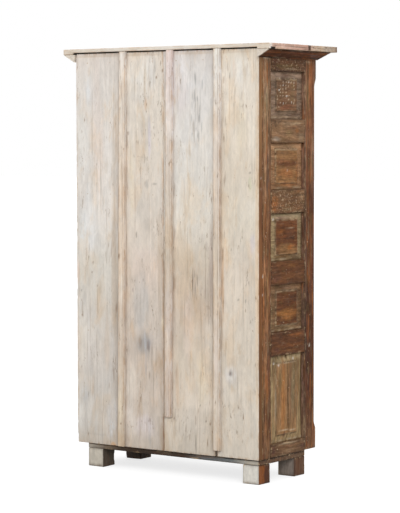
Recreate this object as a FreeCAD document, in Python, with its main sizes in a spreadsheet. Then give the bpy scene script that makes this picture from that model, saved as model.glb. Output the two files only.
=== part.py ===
import FreeCAD, Part
import Sketcher
import math
import os
import re

# A tall storage cabinet of salvaged wood: a plank back with battens, frame and panel sides and doors,
# a moulded cornice under a two-board top, and a low base on four block feet.
# Millimetres. Z is up and the floor is Z 0. The doors face -Y, and X 0 is the middle of the carcass.

# Driving sizes. Each one can be set by itself.
SIZES = {
    # whole carcass
    "total_height": 1980,
    "carcass_width": 1044,
    "carcass_depth": 474,
    "frame_thickness": 42,
    # top boards
    "top_thickness": 27,
    "top_side_overhang": 67,
    "top_front_overhang": 77,
    "top_rear_overhang": 12,
    "top_rear_board_width": 326,
    "back_rebate_height": 9,
    "back_rebate_past": 8,
    "board_joint": 1.2,
    # cornice moulding under the top
    "cornice_height": 35,
    "cornice_side_reach": 61,
    "cornice_front_reach": 31,
    "cornice_foot": 3,
    "cornice_lip": 3,
    "cornice_step": 1,
    # back planks and battens
    "plank_thickness": 30,
    "plank_width_1": 272,
    "plank_width_2": 241.5,
    "plank_width_3": 301.5,
    "plank_top_gap": 5,
    "last_plank_rise": 1,
    "split_width": 13,
    "split_height": 95,
    "batten_width": 37,
    "batten_thickness": 14,
    "batten_top_gap": 1,
    "batten_top_shift_1": -15,
    "batten_foot_shift_1": 1,
    "batten_foot_rise_1": 1,
    "batten_top_shift_2": -45.5,
    "batten_foot_shift_2": -32.5,
    "batten_foot_rise_2": 161,
    "batten_top_shift_3": -10,
    "batten_foot_shift_3": -6.5,
    "batten_foot_rise_3": 29,
    "rear_rail_height": 80,
    "rear_rail_thickness": 32,
    # corner posts and stiles
    "post_size": 92,
    "post_rise": 4,
    "rear_stile_width": 70,
    "chamfer_width": 15,
    "top_block_height": 108,
    "top_stop_length": 52,
    "foot_block_height": 87,
    "foot_stop_length": 40,
    # rails and panels of the sides
    "side_top_rail_height": 92,
    "side_rail_height": 105,
    "side_foot_rail_height": 59,
    "side_panel_1_share": 0.1716,
    "side_panel_2_share": 0.1684,
    "side_panel_3_share": 0.1723,
    "side_panel_4_share": 0.1716,
    "side_border_depth": 19,
    "side_field_depth": 8,
    "side_margin_across": 57,
    "side_margin_up": 37,
    # grooves and raised fields, the same in every frame
    "groove_depth": 12,
    "groove_width": 10,
    "groove_fit": 0.3,
    "panel_room": 3,
    "panel_reveal": 1,
    "field_step": 3,
    "panel_crack": 3,
    # base and feet
    "base_thickness": 24,
    "base_front_inset": 87,
    "base_rear_inset": 10,
    "base_left_inset": 4,
    "base_right_inset": 58,
    "foot_height": 87,
    "foot_width": 90,
    "foot_depth": 88,
    # inside
    "shelf_thickness": 22,
    "cleat_height": 30,
    "cleat_thickness": 20,
    "shelf_front_inset": 6,
    # front frame
    "front_top_rail_height": 123,
    "front_foot_rail_height": 85,
    "tenon_length": 26,
    "tenon_thickness": 14,
    "tenon_shoulder": 12,
    # doors
    "door_thickness": 36,
    "door_gap": 5,
    "hinge_gap": 3,
    "meeting_gap": 6,
    "door_rear_gap": 0.6,
    "door_stile_width": 75,
    "door_rail_height": 80,
    "door_foot_rail_height": 100,
    "door_panel_share": 0.1786,
    "door_border_depth": 13,
    "door_field_depth": 5,
    "door_margin_across": 45,
    "door_margin_up": 35,
    # pintle hinges
    "pin_radius": 5,
    "pin_clearance": 0.1,
    "pin_overrun": 4,
    "eye_wall": 4,
    "eye_face_gap": 0.4,
    "eye_seat_gap": 0.3,
    "strap_length": 190,
    "strap_width": 34,
    "strap_tip_width": 16,
    "strap_thickness": 4,
    "boss_height": 12,
    "pintle_plate_width": 40,
    "pintle_plate_height": 74,
    "pintle_plate_offset": 10,
    # ring pulls
    "pull_height": 1130,
    "pull_ring_radius": 30,
    "pull_wire_radius": 4,
    "pull_eye_clearance": 0.4,
    "pull_eye_bore": 6,
    "pull_eye_wire": 2.5,
    "rosette_radius": 20,
    "iron_plate": 2.5,
    # slide bolt
    "latch_height": 1000,
    "bolt_radius": 5,
    "bolt_clearance": 1.2,
    "bolt_tail": 12,
    "bolt_tip_gap": 6,
    "guide_wire": 2.5,
    "guide_spacing": 48,
    "guide_edge": 12,
    "guide_plate": 16,
    "knob_stem_radius": 4,
    "knob_radius": 6.5,
    "knob_length": 7,
    "knob_reach": 21,
    "knob_rest_gap": 0.6,
    # nails
    "nail_radius": 1.6,
    "nail_head_radius": 3.5,
    "nail_head": 1,
    "nail_length": 52,
    "nail_share": 0.25,
    # how far a cutter runs past what it cuts
    "overrun": 5,
}

SMALL_PANELS = 4
BATTENS = 3
PLANKS = 4

# Levels and places worked out from the sizes, in order. A later one may use an earlier one.
LEVELS = {
    "half_width": "carcass_width / 2",
    "back_y": "(carcass_depth + top_front_overhang - batten_thickness) / 2",
    "front_y": "back_y - carcass_depth",
    "inner_back_y": "back_y - plank_thickness",
    "post_rear_y": "front_y + post_size",
    "inner_half": "half_width - frame_thickness",
    "opening_half": "half_width - post_size",
    "carcass_foot": "foot_height + base_thickness",
    "post_foot": "carcass_foot + post_rise",
    "under_top": "total_height - top_thickness",
    "rebate_top": "under_top + back_rebate_height",
    "cornice_under": "under_top - cornice_height",
    "side_opening_rear": "plank_thickness + rear_stile_width",
    "side_opening_front": "carcass_depth - post_size",
    "front_rail_top": "post_foot + front_foot_rail_height",
    "front_rail_under": "under_top - front_top_rail_height",
    "door_foot": "front_rail_top + door_gap",
    "door_head": "front_rail_under - door_gap",
    "door_hinge_edge": "-opening_half + hinge_gap",
    "door_meeting_edge": "-meeting_gap / 2",
    "door_opening_left": "door_hinge_edge + door_stile_width",
    "door_opening_right": "door_meeting_edge - door_stile_width",
    "hinge_x": "-opening_half + hinge_gap / 2",
    "eye_radius": "pin_radius + pin_clearance + eye_wall",
    "pin_offset": "eye_radius + eye_face_gap",
    "pull_x": "door_meeting_edge - door_stile_width / 2",
    "pull_eye_radius": "pull_eye_bore + pull_eye_wire",
    "pull_offset": "pull_eye_radius + pull_eye_wire + iron_plate / 2",
    "pull_drop": "pull_eye_bore - pull_wire_radius - pull_eye_clearance",
    "pull_pivot_z": "pull_height - pull_drop",
    "guide_radius": "bolt_radius + bolt_clearance + guide_wire",
    "bolt_offset": "guide_radius + guide_wire + iron_plate / 2",
    "guide_near_x": "door_meeting_edge - guide_edge",
    "guide_far_x": "guide_near_x - guide_spacing",
    "knob_x": "guide_far_x + guide_wire + knob_rest_gap + knob_stem_radius",
    "bolt_tip_x": "door_meeting_edge - bolt_tip_gap",
    "bolt_tail_x": "guide_far_x - guide_wire - bolt_tail",
    "bolt_travel": "guide_spacing - 2 * (guide_wire + knob_stem_radius + knob_rest_gap)",
}


def stack_openings(name, head, share_of, foot):
    """The levels of a frame's openings. The small ones have shares of their height in all."""
    top = head
    LEVELS[f"{name}_tall_under"] = foot
    LEVELS[f"{name}_clear"] = f"{head} - {name}_tall_under - {SMALL_PANELS} * {name}_rail_height"
    for i in range(1, SMALL_PANELS + 1):
        LEVELS[f"{name}_top_{i}"] = top
        LEVELS[f"{name}_under_{i}"] = f"{name}_top_{i} - {share_of(i)} * {name}_clear"
        top = f"{name}_under_{i} - {name}_rail_height"
    LEVELS[f"{name}_tall_top"] = top


stack_openings("side", "under_top - side_top_rail_height", lambda i: f"side_panel_{i}_share",
               "carcass_foot + side_foot_rail_height")
stack_openings("door", "door_head - door_rail_height", lambda i: "door_panel_share",
               "door_foot + door_foot_rail_height")

# Each shelf lies on cleats on a side rail, and the bottom board lies level with the front rail's top.
LEVELS["upper_shelf_under"] = "(side_under_2 + side_top_3 + cleat_height) / 2"
LEVELS["lower_shelf_under"] = "(side_under_4 + side_tall_top + cleat_height) / 2"
LEVELS["bottom_board_under"] = "front_rail_top"
SHELF_UNDERS = ("bottom_board_under", "lower_shelf_under", "upper_shelf_under")

# The planks' seams, from +X to -X
LEVELS["seam_0"] = "half_width"
for seam in range(1, PLANKS):
    LEVELS[f"seam_{seam}"] = f"seam_{seam - 1} - plank_width_{seam}"
LEVELS[f"seam_{PLANKS}"] = "-half_width"
for batten in range(1, BATTENS + 1):
    for end in ("top", "foot"):
        LEVELS[f"batten_{end}_x_{batten}"] = f"seam_{batten} + batten_{end}_shift_{batten}"
    LEVELS[f"batten_foot_z_{batten}"] = f"carcass_foot + batten_foot_rise_{batten}"

doc = FreeCAD.newDocument("Cabinet")


def make_sheet():
    """The spreadsheet of driving sizes, and the set of levels that follow them."""
    sheet = doc.addObject("Spreadsheet::Sheet", "Sizes")
    for row, (alias, value) in enumerate(SIZES.items(), start=1):
        sheet.set(f"A{row}", alias)
        sheet.set(f"B{row}", str(value))
        sheet.setAlias(f"B{row}", alias)
    doc.recompute()
    levels = doc.addObject("App::VarSet", "Levels")
    for alias, rule in LEVELS.items():
        levels.addProperty("App::PropertyFloat", alias, "Levels")
        levels.setExpression(alias, bound(rule))
    doc.recompute()
    return levels


def bound(rule):
    """An expression with each named size or level given its owner."""
    def owner(match):
        word = match.group(0)
        if word in SIZES:
            return "Sizes." + word
        return "Levels." + word if word in LEVELS else word
    return re.sub(r"[a-z_]+[a-z_0-9]*", owner, str(rule))


levels = make_sheet()


def value(rule):
    """What an expression comes to now."""
    result = levels.evalExpression(bound(rule))
    return float(getattr(result, "Value", result))


def turned(x, y, z, angle):
    """A placement at the origin, turned by degrees about an axis."""
    return FreeCAD.Placement(FreeCAD.Vector(), FreeCAD.Rotation(FreeCAD.Vector(x, y, z), angle))


# A wall's frame: local X runs along the wall, local -Y is out of it and Z is up.
WORLD = {"turn": 0, "x": "0", "y": "0"}
FRONT = {"turn": 0, "x": "0", "y": "front_y"}
SIDE = {"turn": -90, "x": "-half_width", "y": "back_y"}


def piece(name, wall=WORLD):
    """An empty body on a wall's frame."""
    body = doc.addObject("PartDesign::Body", name)
    body.Label = name
    body.Placement = turned(0, 0, 1, wall["turn"])
    body.setExpression("Placement.Base.x", bound(wall["x"]))
    body.setExpression("Placement.Base.y", bound(wall["y"]))
    return body


def block(body, kind, x, y, z):
    """A box between pairs of levels, added to a body or cut from it."""
    feature = body.newObject(f"PartDesign::{kind}Box", f"{body.Name}_{kind.lower()}")
    for size, axis, (low, high) in (("Length", "x", x), ("Width", "y", y), ("Height", "z", z)):
        feature.setExpression(size, bound(f"({high}) - ({low})"))
        feature.setExpression(f"Placement.Base.{axis}", bound(low))
    return feature


def taper(body, kind, y, near_x, near_z, far_x, far_z):
    """A box whose face at the low Y and face at the high Y differ."""
    feature = body.newObject(f"PartDesign::{kind}Wedge", f"{body.Name}_{kind.lower()}")
    for low, high, pair in (("Ymin", "Ymax", y), ("Xmin", "Xmax", near_x), ("Zmin", "Zmax", near_z),
                            ("X2min", "X2max", far_x), ("Z2min", "Z2max", far_z)):
        feature.setExpression(high, bound(pair[1]))
        feature.setExpression(low, bound(pair[0]))
    return feature


AXIS_TURNS = {"x": turned(0, 1, 0, 90), "y": turned(1, 0, 0, 90), "z": turned(0, 0, 1, 0)}


def place(feature, axis, at):
    """Turns a feature's own Z to an axis (y means -Y) and moves it to a point."""
    feature.Placement = AXIS_TURNS[axis]
    for letter, rule in zip("xyz", at):
        feature.setExpression(f"Placement.Base.{letter}", bound(rule))


def rod(body, kind, axis, radius, length, at):
    """A cylinder from a point along an axis (y means along -Y)."""
    feature = body.newObject(f"PartDesign::{kind}Cylinder", f"{body.Name}_{kind.lower()}")
    feature.setExpression("Radius", bound(radius))
    feature.setExpression("Height", bound(length))
    place(feature, axis, at)


def ring(body, axis, radius, wire, at):
    """A ring of round wire about an axis."""
    feature = body.newObject("PartDesign::AdditiveTorus", f"{body.Name}_ring")
    feature.setExpression("Radius1", bound(radius))
    feature.setExpression("Radius2", bound(wire))
    place(feature, axis, at)


def group(name, members):
    """Like pieces that share one node, as separate solids."""
    compound = doc.addObject("Part::Compound", name)
    compound.Label = name
    compound.Links = members
    return compound


def mirror(name, source):
    """The same piece on the other side of the cabinet's middle plane."""
    twin = doc.addObject("Part::Mirroring", name)
    twin.Label = name
    twin.Source = source
    twin.Base = FreeCAD.Vector()
    twin.Normal = FreeCAD.Vector(1, 0, 0)
    return twin


def plane_of(body, role):
    return [feature for feature in body.Origin.OriginFeatures if feature.Role == role][0]


def ogee_arcs(start, end):
    """Two arcs that make an S from one point to another, upright at both ends."""
    dx, dy = end[0] - start[0], end[1] - start[1]
    radius = (dx * dx + dy * dy) / (4 * abs(dx))
    side = math.copysign(radius, dx)
    middle = (start[0] + dx / 2, start[1] + dy / 2)
    return (((start[0] + side, start[1]), start, middle), ((end[0] - side, end[1]), middle, end)), radius


def arc_in(sketch, centre, start, end, radius):
    """Adds an arc of under a half circle, and gives its index and the end at which it starts."""
    angles = [math.atan2(point[1] - centre[1], point[0] - centre[0]) for point in (start, end)]
    forward = (angles[1] - angles[0]) % (2 * math.pi) < math.pi
    low, high = angles if forward else reversed(angles)
    circle = Part.Circle(FreeCAD.Vector(*centre, 0), FreeCAD.Vector(0, 0, 1), radius)
    index = sketch.addGeometry(Part.ArcOfCircle(circle, low, high), False)
    return index, (1, 2) if forward else (2, 1)


def fix_point(sketch, index, end, point):
    """Ties one end of an edge to its place, by its distances from the sketch's origin."""
    for kind, rule in zip(("DistanceX", "DistanceY"), point):
        row = sketch.addConstraint(Sketcher.Constraint(kind, -1, 1, index, end, value(rule)))
        sketch.setExpression(f"Constraints[{row}]", bound(rule))


def outline(body, role, points, name):
    """A closed sketch through points. The word ogee after a point makes the edge to it an S."""
    sketch = body.newObject("Sketcher::SketchObject", name)
    sketch.AttachmentSupport = [(plane_of(body, role), "")]
    sketch.MapMode = "FlatFace"
    edges = []
    for before, point in zip([points[-1]] + points[:-1], points):
        start = (value(before[0]), value(before[1]))
        end = (value(point[0]), value(point[1]))
        if len(point) < 3:
            line = Part.LineSegment(FreeCAD.Vector(*start, 0), FreeCAD.Vector(*end, 0))
            edges.append((sketch.addGeometry(line, False), (1, 2), before[:2]))
            continue
        (first, second), radius = ogee_arcs(start, end)
        across, along = f"(({point[0]}) - ({before[0]}))", f"(({point[1]}) - ({before[1]}))"
        radius_rule = f"({across} * {across} + {along} * {along}) / (4 * abs({across}))"
        middle = (f"(({point[0]}) + ({before[0]})) / 2", f"(({point[1]}) + ({before[1]})) / 2")
        for (centre, low, high), rule in ((first, before[:2]), (second, middle)):
            index, ends = arc_in(sketch, centre, low, high, radius)
            row = sketch.addConstraint(Sketcher.Constraint("Radius", index, radius))
            sketch.setExpression(f"Constraints[{row}]", bound(radius_rule))
            edges.append((index, ends, rule))
    for (index, ends, rule), (next_index, next_ends, _) in zip(edges, edges[1:] + edges[:1]):
        sketch.addConstraint(Sketcher.Constraint("Coincident", index, ends[1], next_index, next_ends[0]))
        fix_point(sketch, index, ends[0], rule)
    return sketch


def board(name, x, y, z, wall=WORLD):
    body = piece(name, wall)
    block(body, "Additive", x, y, z)
    return body


# Frames and panels

def stile(name, wall, x, z, thickness, border, groove_x):
    """An upright of a frame, with a groove along one edge for panels and rail tenons."""
    body = board(name, x, ("0", thickness), z, wall)
    block(body, "Subtractive", groove_x, (border, f"{border} + groove_width"), z)
    return body


def rail(name, wall, x, z, thickness, border, grooves, tenon_foot=None):
    """A cross member with a stub tenon at each end, and a groove where a panel meets it."""
    body = board(name, x, ("0", thickness), z, wall)
    groove = (border, f"{border} + groove_width")
    reach = (f"{x[0]} - groove_depth", f"{x[1]} + groove_depth")
    low = f"{z[0]} + groove_depth" if "under" in grooves else tenon_foot or z[0]
    high = f"{z[1]} - groove_depth" if "top" in grooves else z[1]
    block(body, "Additive", reach, groove, (low, high))
    if "under" in grooves:
        block(body, "Subtractive", reach, groove, (z[0], low))
    if "top" in grooves:
        block(body, "Subtractive", reach, groove, (high, z[1]))
    return body


def panel(name, wall, x, z, kind, seams=("groove", "groove")):
    """A raised panel: a plate in the grooves, a sloped border, and a raised field."""
    plate, slope, field = [], [], []
    for edge, seam, sign in zip(x, seams, ("-", "+")):
        inward = "+" if sign == "-" else "-"
        if seam == "crack":
            plate.append(f"{edge} {inward} panel_crack / 2")
            slope.append(plate[-1])
            field.append(plate[-1])
        else:
            plate.append(f"{edge} {sign} (groove_depth - panel_room)")
            slope.append(f"{edge} {inward} panel_reveal")
            field.append(f"{edge} {inward} {kind}_margin_across")
    back = f"{kind}_border_depth + groove_width - groove_fit"
    border = f"{kind}_border_depth + groove_fit"
    step = f"{kind}_field_depth + field_step"
    field_z = (f"{z[0]} + {kind}_margin_up", f"{z[1]} - {kind}_margin_up")
    slope_z = (f"{z[0]} + panel_reveal", f"{z[1]} - panel_reveal")
    plate_z = (f"{z[0]} - groove_depth", f"{z[1]} + groove_depth - panel_room")
    body = board(name, plate, (border, back), plate_z, wall)
    taper(body, "Additive", (step, border), field, field_z, slope, slope_z)
    block(body, "Additive", field, (f"{kind}_field_depth", step), field_z)
    return body


def frame_rails(name, wall, kind, x, head, foot, thickness, tenon_foot=None):
    """The top rail, the rails between openings and the foot rail of one frame, from the top down."""
    border = f"{kind}_border_depth"
    rails = [rail(f"{name}_top_rail", wall, x, (f"{kind}_top_1", head), thickness, border, ("under",))]
    for i in range(1, SMALL_PANELS + 1):
        below = f"{kind}_top_{i + 1}" if i < SMALL_PANELS else f"{kind}_tall_top"
        rails.append(rail(f"{name}_rail_{i}", wall, x, (below, f"{kind}_under_{i}"), thickness, border,
                          ("under", "top")))
    rails.append(rail(f"{name}_bottom_rail", wall, x, (foot, f"{kind}_tall_under"), thickness, border,
                      ("top",), tenon_foot))
    return rails


def frame_panels(name, wall, kind, x):
    """The small panels of one frame, from the top down, and the two boards of its tall panel."""
    small = [panel(f"{name}_panel_{i}", wall, x, (f"{kind}_under_{i}", f"{kind}_top_{i}"), kind)
             for i in range(1, SMALL_PANELS + 1)]
    middle = f"({x[0]} + {x[1]}) / 2"
    tall_z = (f"{kind}_tall_under", f"{kind}_tall_top")
    tall = [panel(f"{name}_tall_board_1", wall, (x[0], middle), tall_z, kind, ("groove", "crack")),
            panel(f"{name}_tall_board_2", wall, (middle, x[1]), tall_z, kind, ("crack", "groove"))]
    return small, tall


# Sides

def make_post():
    """The left front corner post, with a stopped chamfer on its outer arris."""
    z = ("post_foot", "under_top")
    x = ("side_opening_front", "carcass_depth")
    post = stile("front_post_left", SIDE, x, z, "post_size", "side_border_depth",
                 (x[0], f"{x[0]} + groove_depth"))
    # the front rails' mortises, in the face that looks at the other post
    tenon_x = ("carcass_depth - (frame_thickness + tenon_thickness) / 2",
               "carcass_depth - (frame_thickness - tenon_thickness) / 2")
    for low, high in (("post_foot", "front_rail_top"), ("front_rail_under", "under_top")):
        block(post, "Subtractive", tenon_x, ("post_size - tenon_length", "post_size"),
              (f"{low} + tenon_shoulder", f"{high} - tenon_shoulder"))
    doc.recompute()
    stop_top = "under_top - top_block_height"
    stop_foot = "post_foot + foot_block_height"
    depth = "chamfer_width / sqrt(2)"
    points = [("overrun", stop_foot), ("overrun", stop_top), ("0", stop_top),
              (f"-{depth}", f"{stop_top} - top_stop_length", "ogee"),
              (f"-{depth}", f"{stop_foot} + foot_stop_length"),
              ("0", stop_foot, "ogee")]
    profile = outline(post, "XZ_Plane", points, "chamfer_profile")
    profile.AttachmentOffset = turned(0, 1, 0, 45)
    profile.setExpression("AttachmentOffset.Base.x", bound("carcass_depth"))
    cut = post.newObject("PartDesign::Pocket", "stopped_chamfer")
    cut.Profile = profile
    cut.Midplane = True
    cut.setExpression("Length", bound("4 * chamfer_width"))
    return post


def make_side():
    """The left side's rails and panels, each its own node, and the right side's as groups."""
    x = ("side_opening_rear", "side_opening_front")
    rails = frame_rails("left", SIDE, "side", x, "under_top", "carcass_foot", "frame_thickness", "post_foot")
    small, tall = frame_panels("left", SIDE, "side", x)
    tall_panel = group("left_tall_panel", tall)
    rail_group = group("left_rail_pattern", rails)
    panel_group = group("left_panel_pattern", small + tall)
    return rails + small + [tall_panel, mirror("right_side_rails", rail_group),
                            mirror("right_side_panels", panel_group)]


def make_corners():
    post = make_post()
    edge = "side_opening_rear"
    rear = stile("rear_stile_left", SIDE, ("plank_thickness", edge), ("carcass_foot", "under_top"),
                 "frame_thickness", "side_border_depth", (f"{edge} - groove_depth", edge))
    return [post, rear, mirror("front_post_right", post), mirror("rear_stile_right", rear)]


# Back

def make_planks():
    """Four upright planks. The last hangs a little short, and a split opens at its seam."""
    planks = []
    for i in range(1, PLANKS + 1):
        foot = "carcass_foot + last_plank_rise" if i == PLANKS else "carcass_foot"
        x = (f"seam_{i}", f"seam_{i - 1} - board_joint" if i > 1 else "seam_0")
        plank = board(f"back_plank_{i}", x, ("inner_back_y", "back_y"), (foot, "rebate_top - plank_top_gap"))
        planks.append(plank)
    split = planks[-2].newObject("PartDesign::SubtractiveWedge", "seam_split")
    split.Placement = turned(1, 0, 0, 90)
    seam = f"seam_{PLANKS - 1}"
    rules = {"Ymin": "carcass_foot", "Ymax": "carcass_foot + split_height",
             "Xmin": f"{seam} - overrun", "Xmax": f"{seam} + board_joint",
             "X2min": f"{seam} - overrun", "X2max": f"{seam} + split_width",
             "Zmin": "-back_y - overrun", "Zmax": "-inner_back_y + overrun",
             "Z2min": "-back_y - overrun", "Z2max": "-inner_back_y + overrun"}
    for name, rule in rules.items():
        split.setExpression(name, bound(rule))
    return planks


def make_battens():
    """Thin strips beside the seams, each a little out of plumb."""
    battens = []
    for i in range(1, BATTENS + 1):
        batten = piece(f"back_batten_{i}")
        length = f"(rebate_top - batten_top_gap - batten_foot_z_{i})"
        block(batten, "Additive", ("-batten_width / 2", "batten_width / 2"), ("0", "batten_thickness"),
              ("0", length))
        batten.Placement = turned(0, 1, 0, 1)  # this sets the axis, and the lean below sets the angle
        batten.setExpression("Placement.Base.x", bound(f"batten_foot_x_{i}"))
        batten.setExpression("Placement.Base.y", bound("back_y"))
        batten.setExpression("Placement.Base.z", bound(f"batten_foot_z_{i}"))
        lean = f"atan((batten_top_x_{i} - batten_foot_x_{i}) / {length})"
        batten.setExpression("Placement.Rotation.Angle", bound(lean))
        battens.append(batten)
    return battens


def make_nails():
    """Nails through the planks into what crosses behind them."""
    rows = ("under_top - rear_rail_height / 2", "upper_shelf_under + shelf_thickness / 2",
            "lower_shelf_under + shelf_thickness / 2", "bottom_board_under + shelf_thickness / 2")
    nails = []
    for i in range(1, PLANKS + 1):
        width = f"(seam_{i - 1} - seam_{i})"
        for x in (f"seam_{i} + nail_share * {width}", f"seam_{i - 1} - nail_share * {width}"):
            for z in rows:
                nail = piece(f"back_nail_{len(nails) + 1}")
                rod(nail, "Additive", "y", "nail_radius", "nail_length", (x, "back_y", z))
                rod(nail, "Additive", "y", "nail_head_radius", "nail_head", (x, "back_y + nail_head", z))
                nails.append(nail)
    return group("back_nails", nails)


def make_back():
    rear_rail = board("rear_top_rail", ("-inner_half", "inner_half"),
                      ("inner_back_y - rear_rail_thickness", "inner_back_y"),
                      ("under_top - rear_rail_height", "under_top"))
    return make_planks() + make_battens() + [rear_rail, make_nails()]


# Top

def make_top():
    """Two boards. The rear one has a stopped rebate underneath, which the planks and battens stand in."""
    x = ("-half_width - top_side_overhang", "half_width + top_side_overhang")
    z = ("under_top", "total_height")
    rear_y = "back_y + top_rear_overhang"
    joint = f"{rear_y} - top_rear_board_width"
    rear = board("top_board_rear", x, (joint, rear_y), z)
    block(rear, "Subtractive", ("-half_width", "half_width + back_rebate_past"),
          ("inner_back_y", f"{rear_y} + overrun"), ("under_top - overrun", "rebate_top"))
    return [rear, board("top_board_front", x, ("front_y - top_front_overhang", f"{joint} - board_joint"), z)]


def moulding(name, wall, reach, start, end):
    """A length of cornice, whose splayed profile stands out of a wall by its reach."""
    body = piece(name, wall)
    lip_z = "under_top - cornice_lip"
    points = [("0", "cornice_under"), ("-cornice_foot", "cornice_under"),
              (f"-({reach} - cornice_step)", lip_z), (f"-{reach}", lip_z),
              (f"-{reach}", "under_top"), ("0", "under_top")]
    profile = outline(body, "YZ_Plane", points, f"{name}_profile")
    profile.setExpression("AttachmentOffset.Base.z", bound(start))
    pad = body.newObject("PartDesign::Pad", f"{name}_run")
    pad.Profile = profile
    pad.setExpression("Length", bound(f"({end}) - ({start})"))
    doc.recompute()
    return body


def mitre(body, reach, corner, far, away):
    """Cuts a moulding's end on the line from its wall's corner to the cornice's outer corner."""
    z = ("cornice_under - overrun", "under_top + overrun")
    sign = "+" if away > 0 else "-"
    outer, inner = f"{corner} {sign} {far}", corner
    past = f"{corner} {sign} ({far} + overrun)"
    spans = [(outer, past), (inner, past)] if away > 0 else [(past, outer), (past, inner)]
    taper(body, "Subtractive", (f"-{reach}", "0"), spans[0], z, spans[1], z)


def make_cornice():
    """The cornice: a left, a right and a front length, mitred at the front corners."""
    left = moulding("cornice_left", SIDE, "cornice_side_reach", "-top_rear_overhang",
                    "carcass_depth + cornice_front_reach")
    mitre(left, "cornice_side_reach", "carcass_depth", "cornice_front_reach", 1)
    front = moulding("cornice_front", FRONT, "cornice_front_reach", "-half_width - cornice_side_reach",
                     "half_width + cornice_side_reach")
    mitre(front, "cornice_front_reach", "half_width", "cornice_side_reach", 1)
    mitre(front, "cornice_front_reach", "-half_width", "cornice_side_reach", -1)
    return [left, front, mirror("cornice_right", left)]


# Base and inside

def make_base():
    left, right = "-half_width + base_left_inset", "half_width - base_right_inset"
    rear = "back_y - base_rear_inset"
    front = "front_y + base_front_inset"
    pieces = [board("base_board", (left, right), (front, rear), ("foot_height", "carcass_foot"))]
    for end, y in (("rear", (f"{rear} - foot_depth", rear)), ("front", (front, f"{front} + foot_depth"))):
        for hand, x in (("left", (left, f"{left} + foot_width")),
                        ("right", (f"{right} - foot_width", right))):
            pieces.append(board(f"foot_{end}_{hand}", x, y, ("0", "foot_height")))
    return pieces


def make_inside():
    """The bottom board, notched round the posts, two shelves, and the cleats under all three."""
    span = ("-inner_half", "inner_half")
    bottom = board("bottom_board", span, ("post_rear_y", "inner_back_y"),
                   ("bottom_board_under", "bottom_board_under + shelf_thickness"))
    block(bottom, "Additive", ("-opening_half", "opening_half"),
          ("front_y + door_thickness + door_rear_gap", "post_rear_y"),
          ("bottom_board_under", "bottom_board_under + shelf_thickness"))
    shelves = [board(name, span, ("post_rear_y + shelf_front_inset", "inner_back_y"),
                     (f"{name}_under", f"{name}_under + shelf_thickness"))
               for name in ("lower_shelf", "upper_shelf")]
    cleats = []
    for under in SHELF_UNDERS:
        cleat = board(f"{under}_cleat", ("-inner_half", "-inner_half + cleat_thickness"),
                      ("post_rear_y", "inner_back_y"), (f"{under} - cleat_height", under))
        cleats += [cleat, mirror(f"{under}_cleat_right", cleat)]
    return [bottom] + shelves + [group("shelf_cleats", cleats)]


# Front frame and doors

def front_rail(name, z):
    body = board(name, ("-opening_half", "opening_half"), ("0", "frame_thickness"), z, FRONT)
    block(body, "Additive", ("-opening_half - tenon_length", "opening_half + tenon_length"),
          ("(frame_thickness - tenon_thickness) / 2", "(frame_thickness + tenon_thickness) / 2"),
          (f"{z[0]} + tenon_shoulder", f"{z[1]} - tenon_shoulder"))
    return body


def make_front_frame():
    return [front_rail("front_top_rail", ("front_rail_under", "under_top")),
            front_rail("front_bottom_rail", ("post_foot", "front_rail_top"))]


def make_doors():
    """The left door's stiles, rails and panels, and their twins in the right door."""
    z = ("door_foot", "door_head")
    x = ("door_opening_left", "door_opening_right")
    hinge = stile("left_door_hinge_stile", FRONT, ("door_hinge_edge", x[0]), z, "door_thickness",
                  "door_border_depth", (f"{x[0]} - groove_depth", x[0]))
    meeting = stile("left_door_meeting_stile", FRONT, (x[1], "door_meeting_edge"), z, "door_thickness",
                    "door_border_depth", (x[1], f"{x[1]} + groove_depth"))
    rails = group("left_door_rails", frame_rails("door", FRONT, "door", x, "door_head", "door_foot",
                                                 "door_thickness"))
    small, tall = frame_panels("door", FRONT, "door", x)
    left = [hinge, meeting, rails, group("left_door_panels", small + tall)]
    return left + [mirror(source.Label.replace("left", "right"), source) for source in left]


# Ironwork

HINGE_LEVELS = ("door_head - door_rail_height / 2", "(door_under_3 + door_top_4) / 2",
                "door_foot + door_foot_rail_height / 2")


def make_strap(number, level):
    """A hinge strap on the door's face, with its eye round the pin."""
    strap = piece(f"strap_{number}", FRONT)
    low, high = f"{level} - strap_width / 2", f"{level} + strap_width / 2"
    tip = (f"{level} - strap_tip_width / 2", f"{level} + strap_tip_width / 2")
    axis = ("hinge_x", "-pin_offset")
    rod(strap, "Additive", "z", "eye_radius", "strap_width", (*axis, low))
    block(strap, "Additive", ("hinge_x", "hinge_x + strap_width"), ("-strap_thickness", "0"), (low, high))
    blade = taper(strap, "Additive", ("hinge_x + strap_width", "hinge_x + strap_length"),
                  ("0", "strap_thickness"), (low, high), ("0", "strap_thickness"), tip)
    blade.Placement = turned(0, 0, 1, -90)
    rod(strap, "Subtractive", "z", "pin_radius + pin_clearance", "strap_width", (*axis, low))
    return strap


def make_pintle(number, level):
    """A plate on the post, with a boss that carries the hinge pin."""
    pintle = piece(f"pintle_{number}", FRONT)
    seat = f"{level} - strap_width / 2 - eye_seat_gap"
    foot = f"{seat} - boss_height"
    plate_x = "-opening_half - pintle_plate_offset"
    block(pintle, "Additive", (f"{plate_x} - pintle_plate_width", plate_x), ("-strap_thickness", "0"),
          (f"{foot} - pintle_plate_height / 3", f"{foot} + 2 * pintle_plate_height / 3"))
    block(pintle, "Additive", (plate_x, "hinge_x"), ("-strap_thickness", "0"), (foot, seat))
    rod(pintle, "Additive", "z", "eye_radius", "boss_height", ("hinge_x", "-pin_offset", foot))
    rod(pintle, "Additive", "z", "pin_radius", "boss_height + eye_seat_gap + strap_width + pin_overrun",
        ("hinge_x", "-pin_offset", foot))
    return pintle


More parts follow.
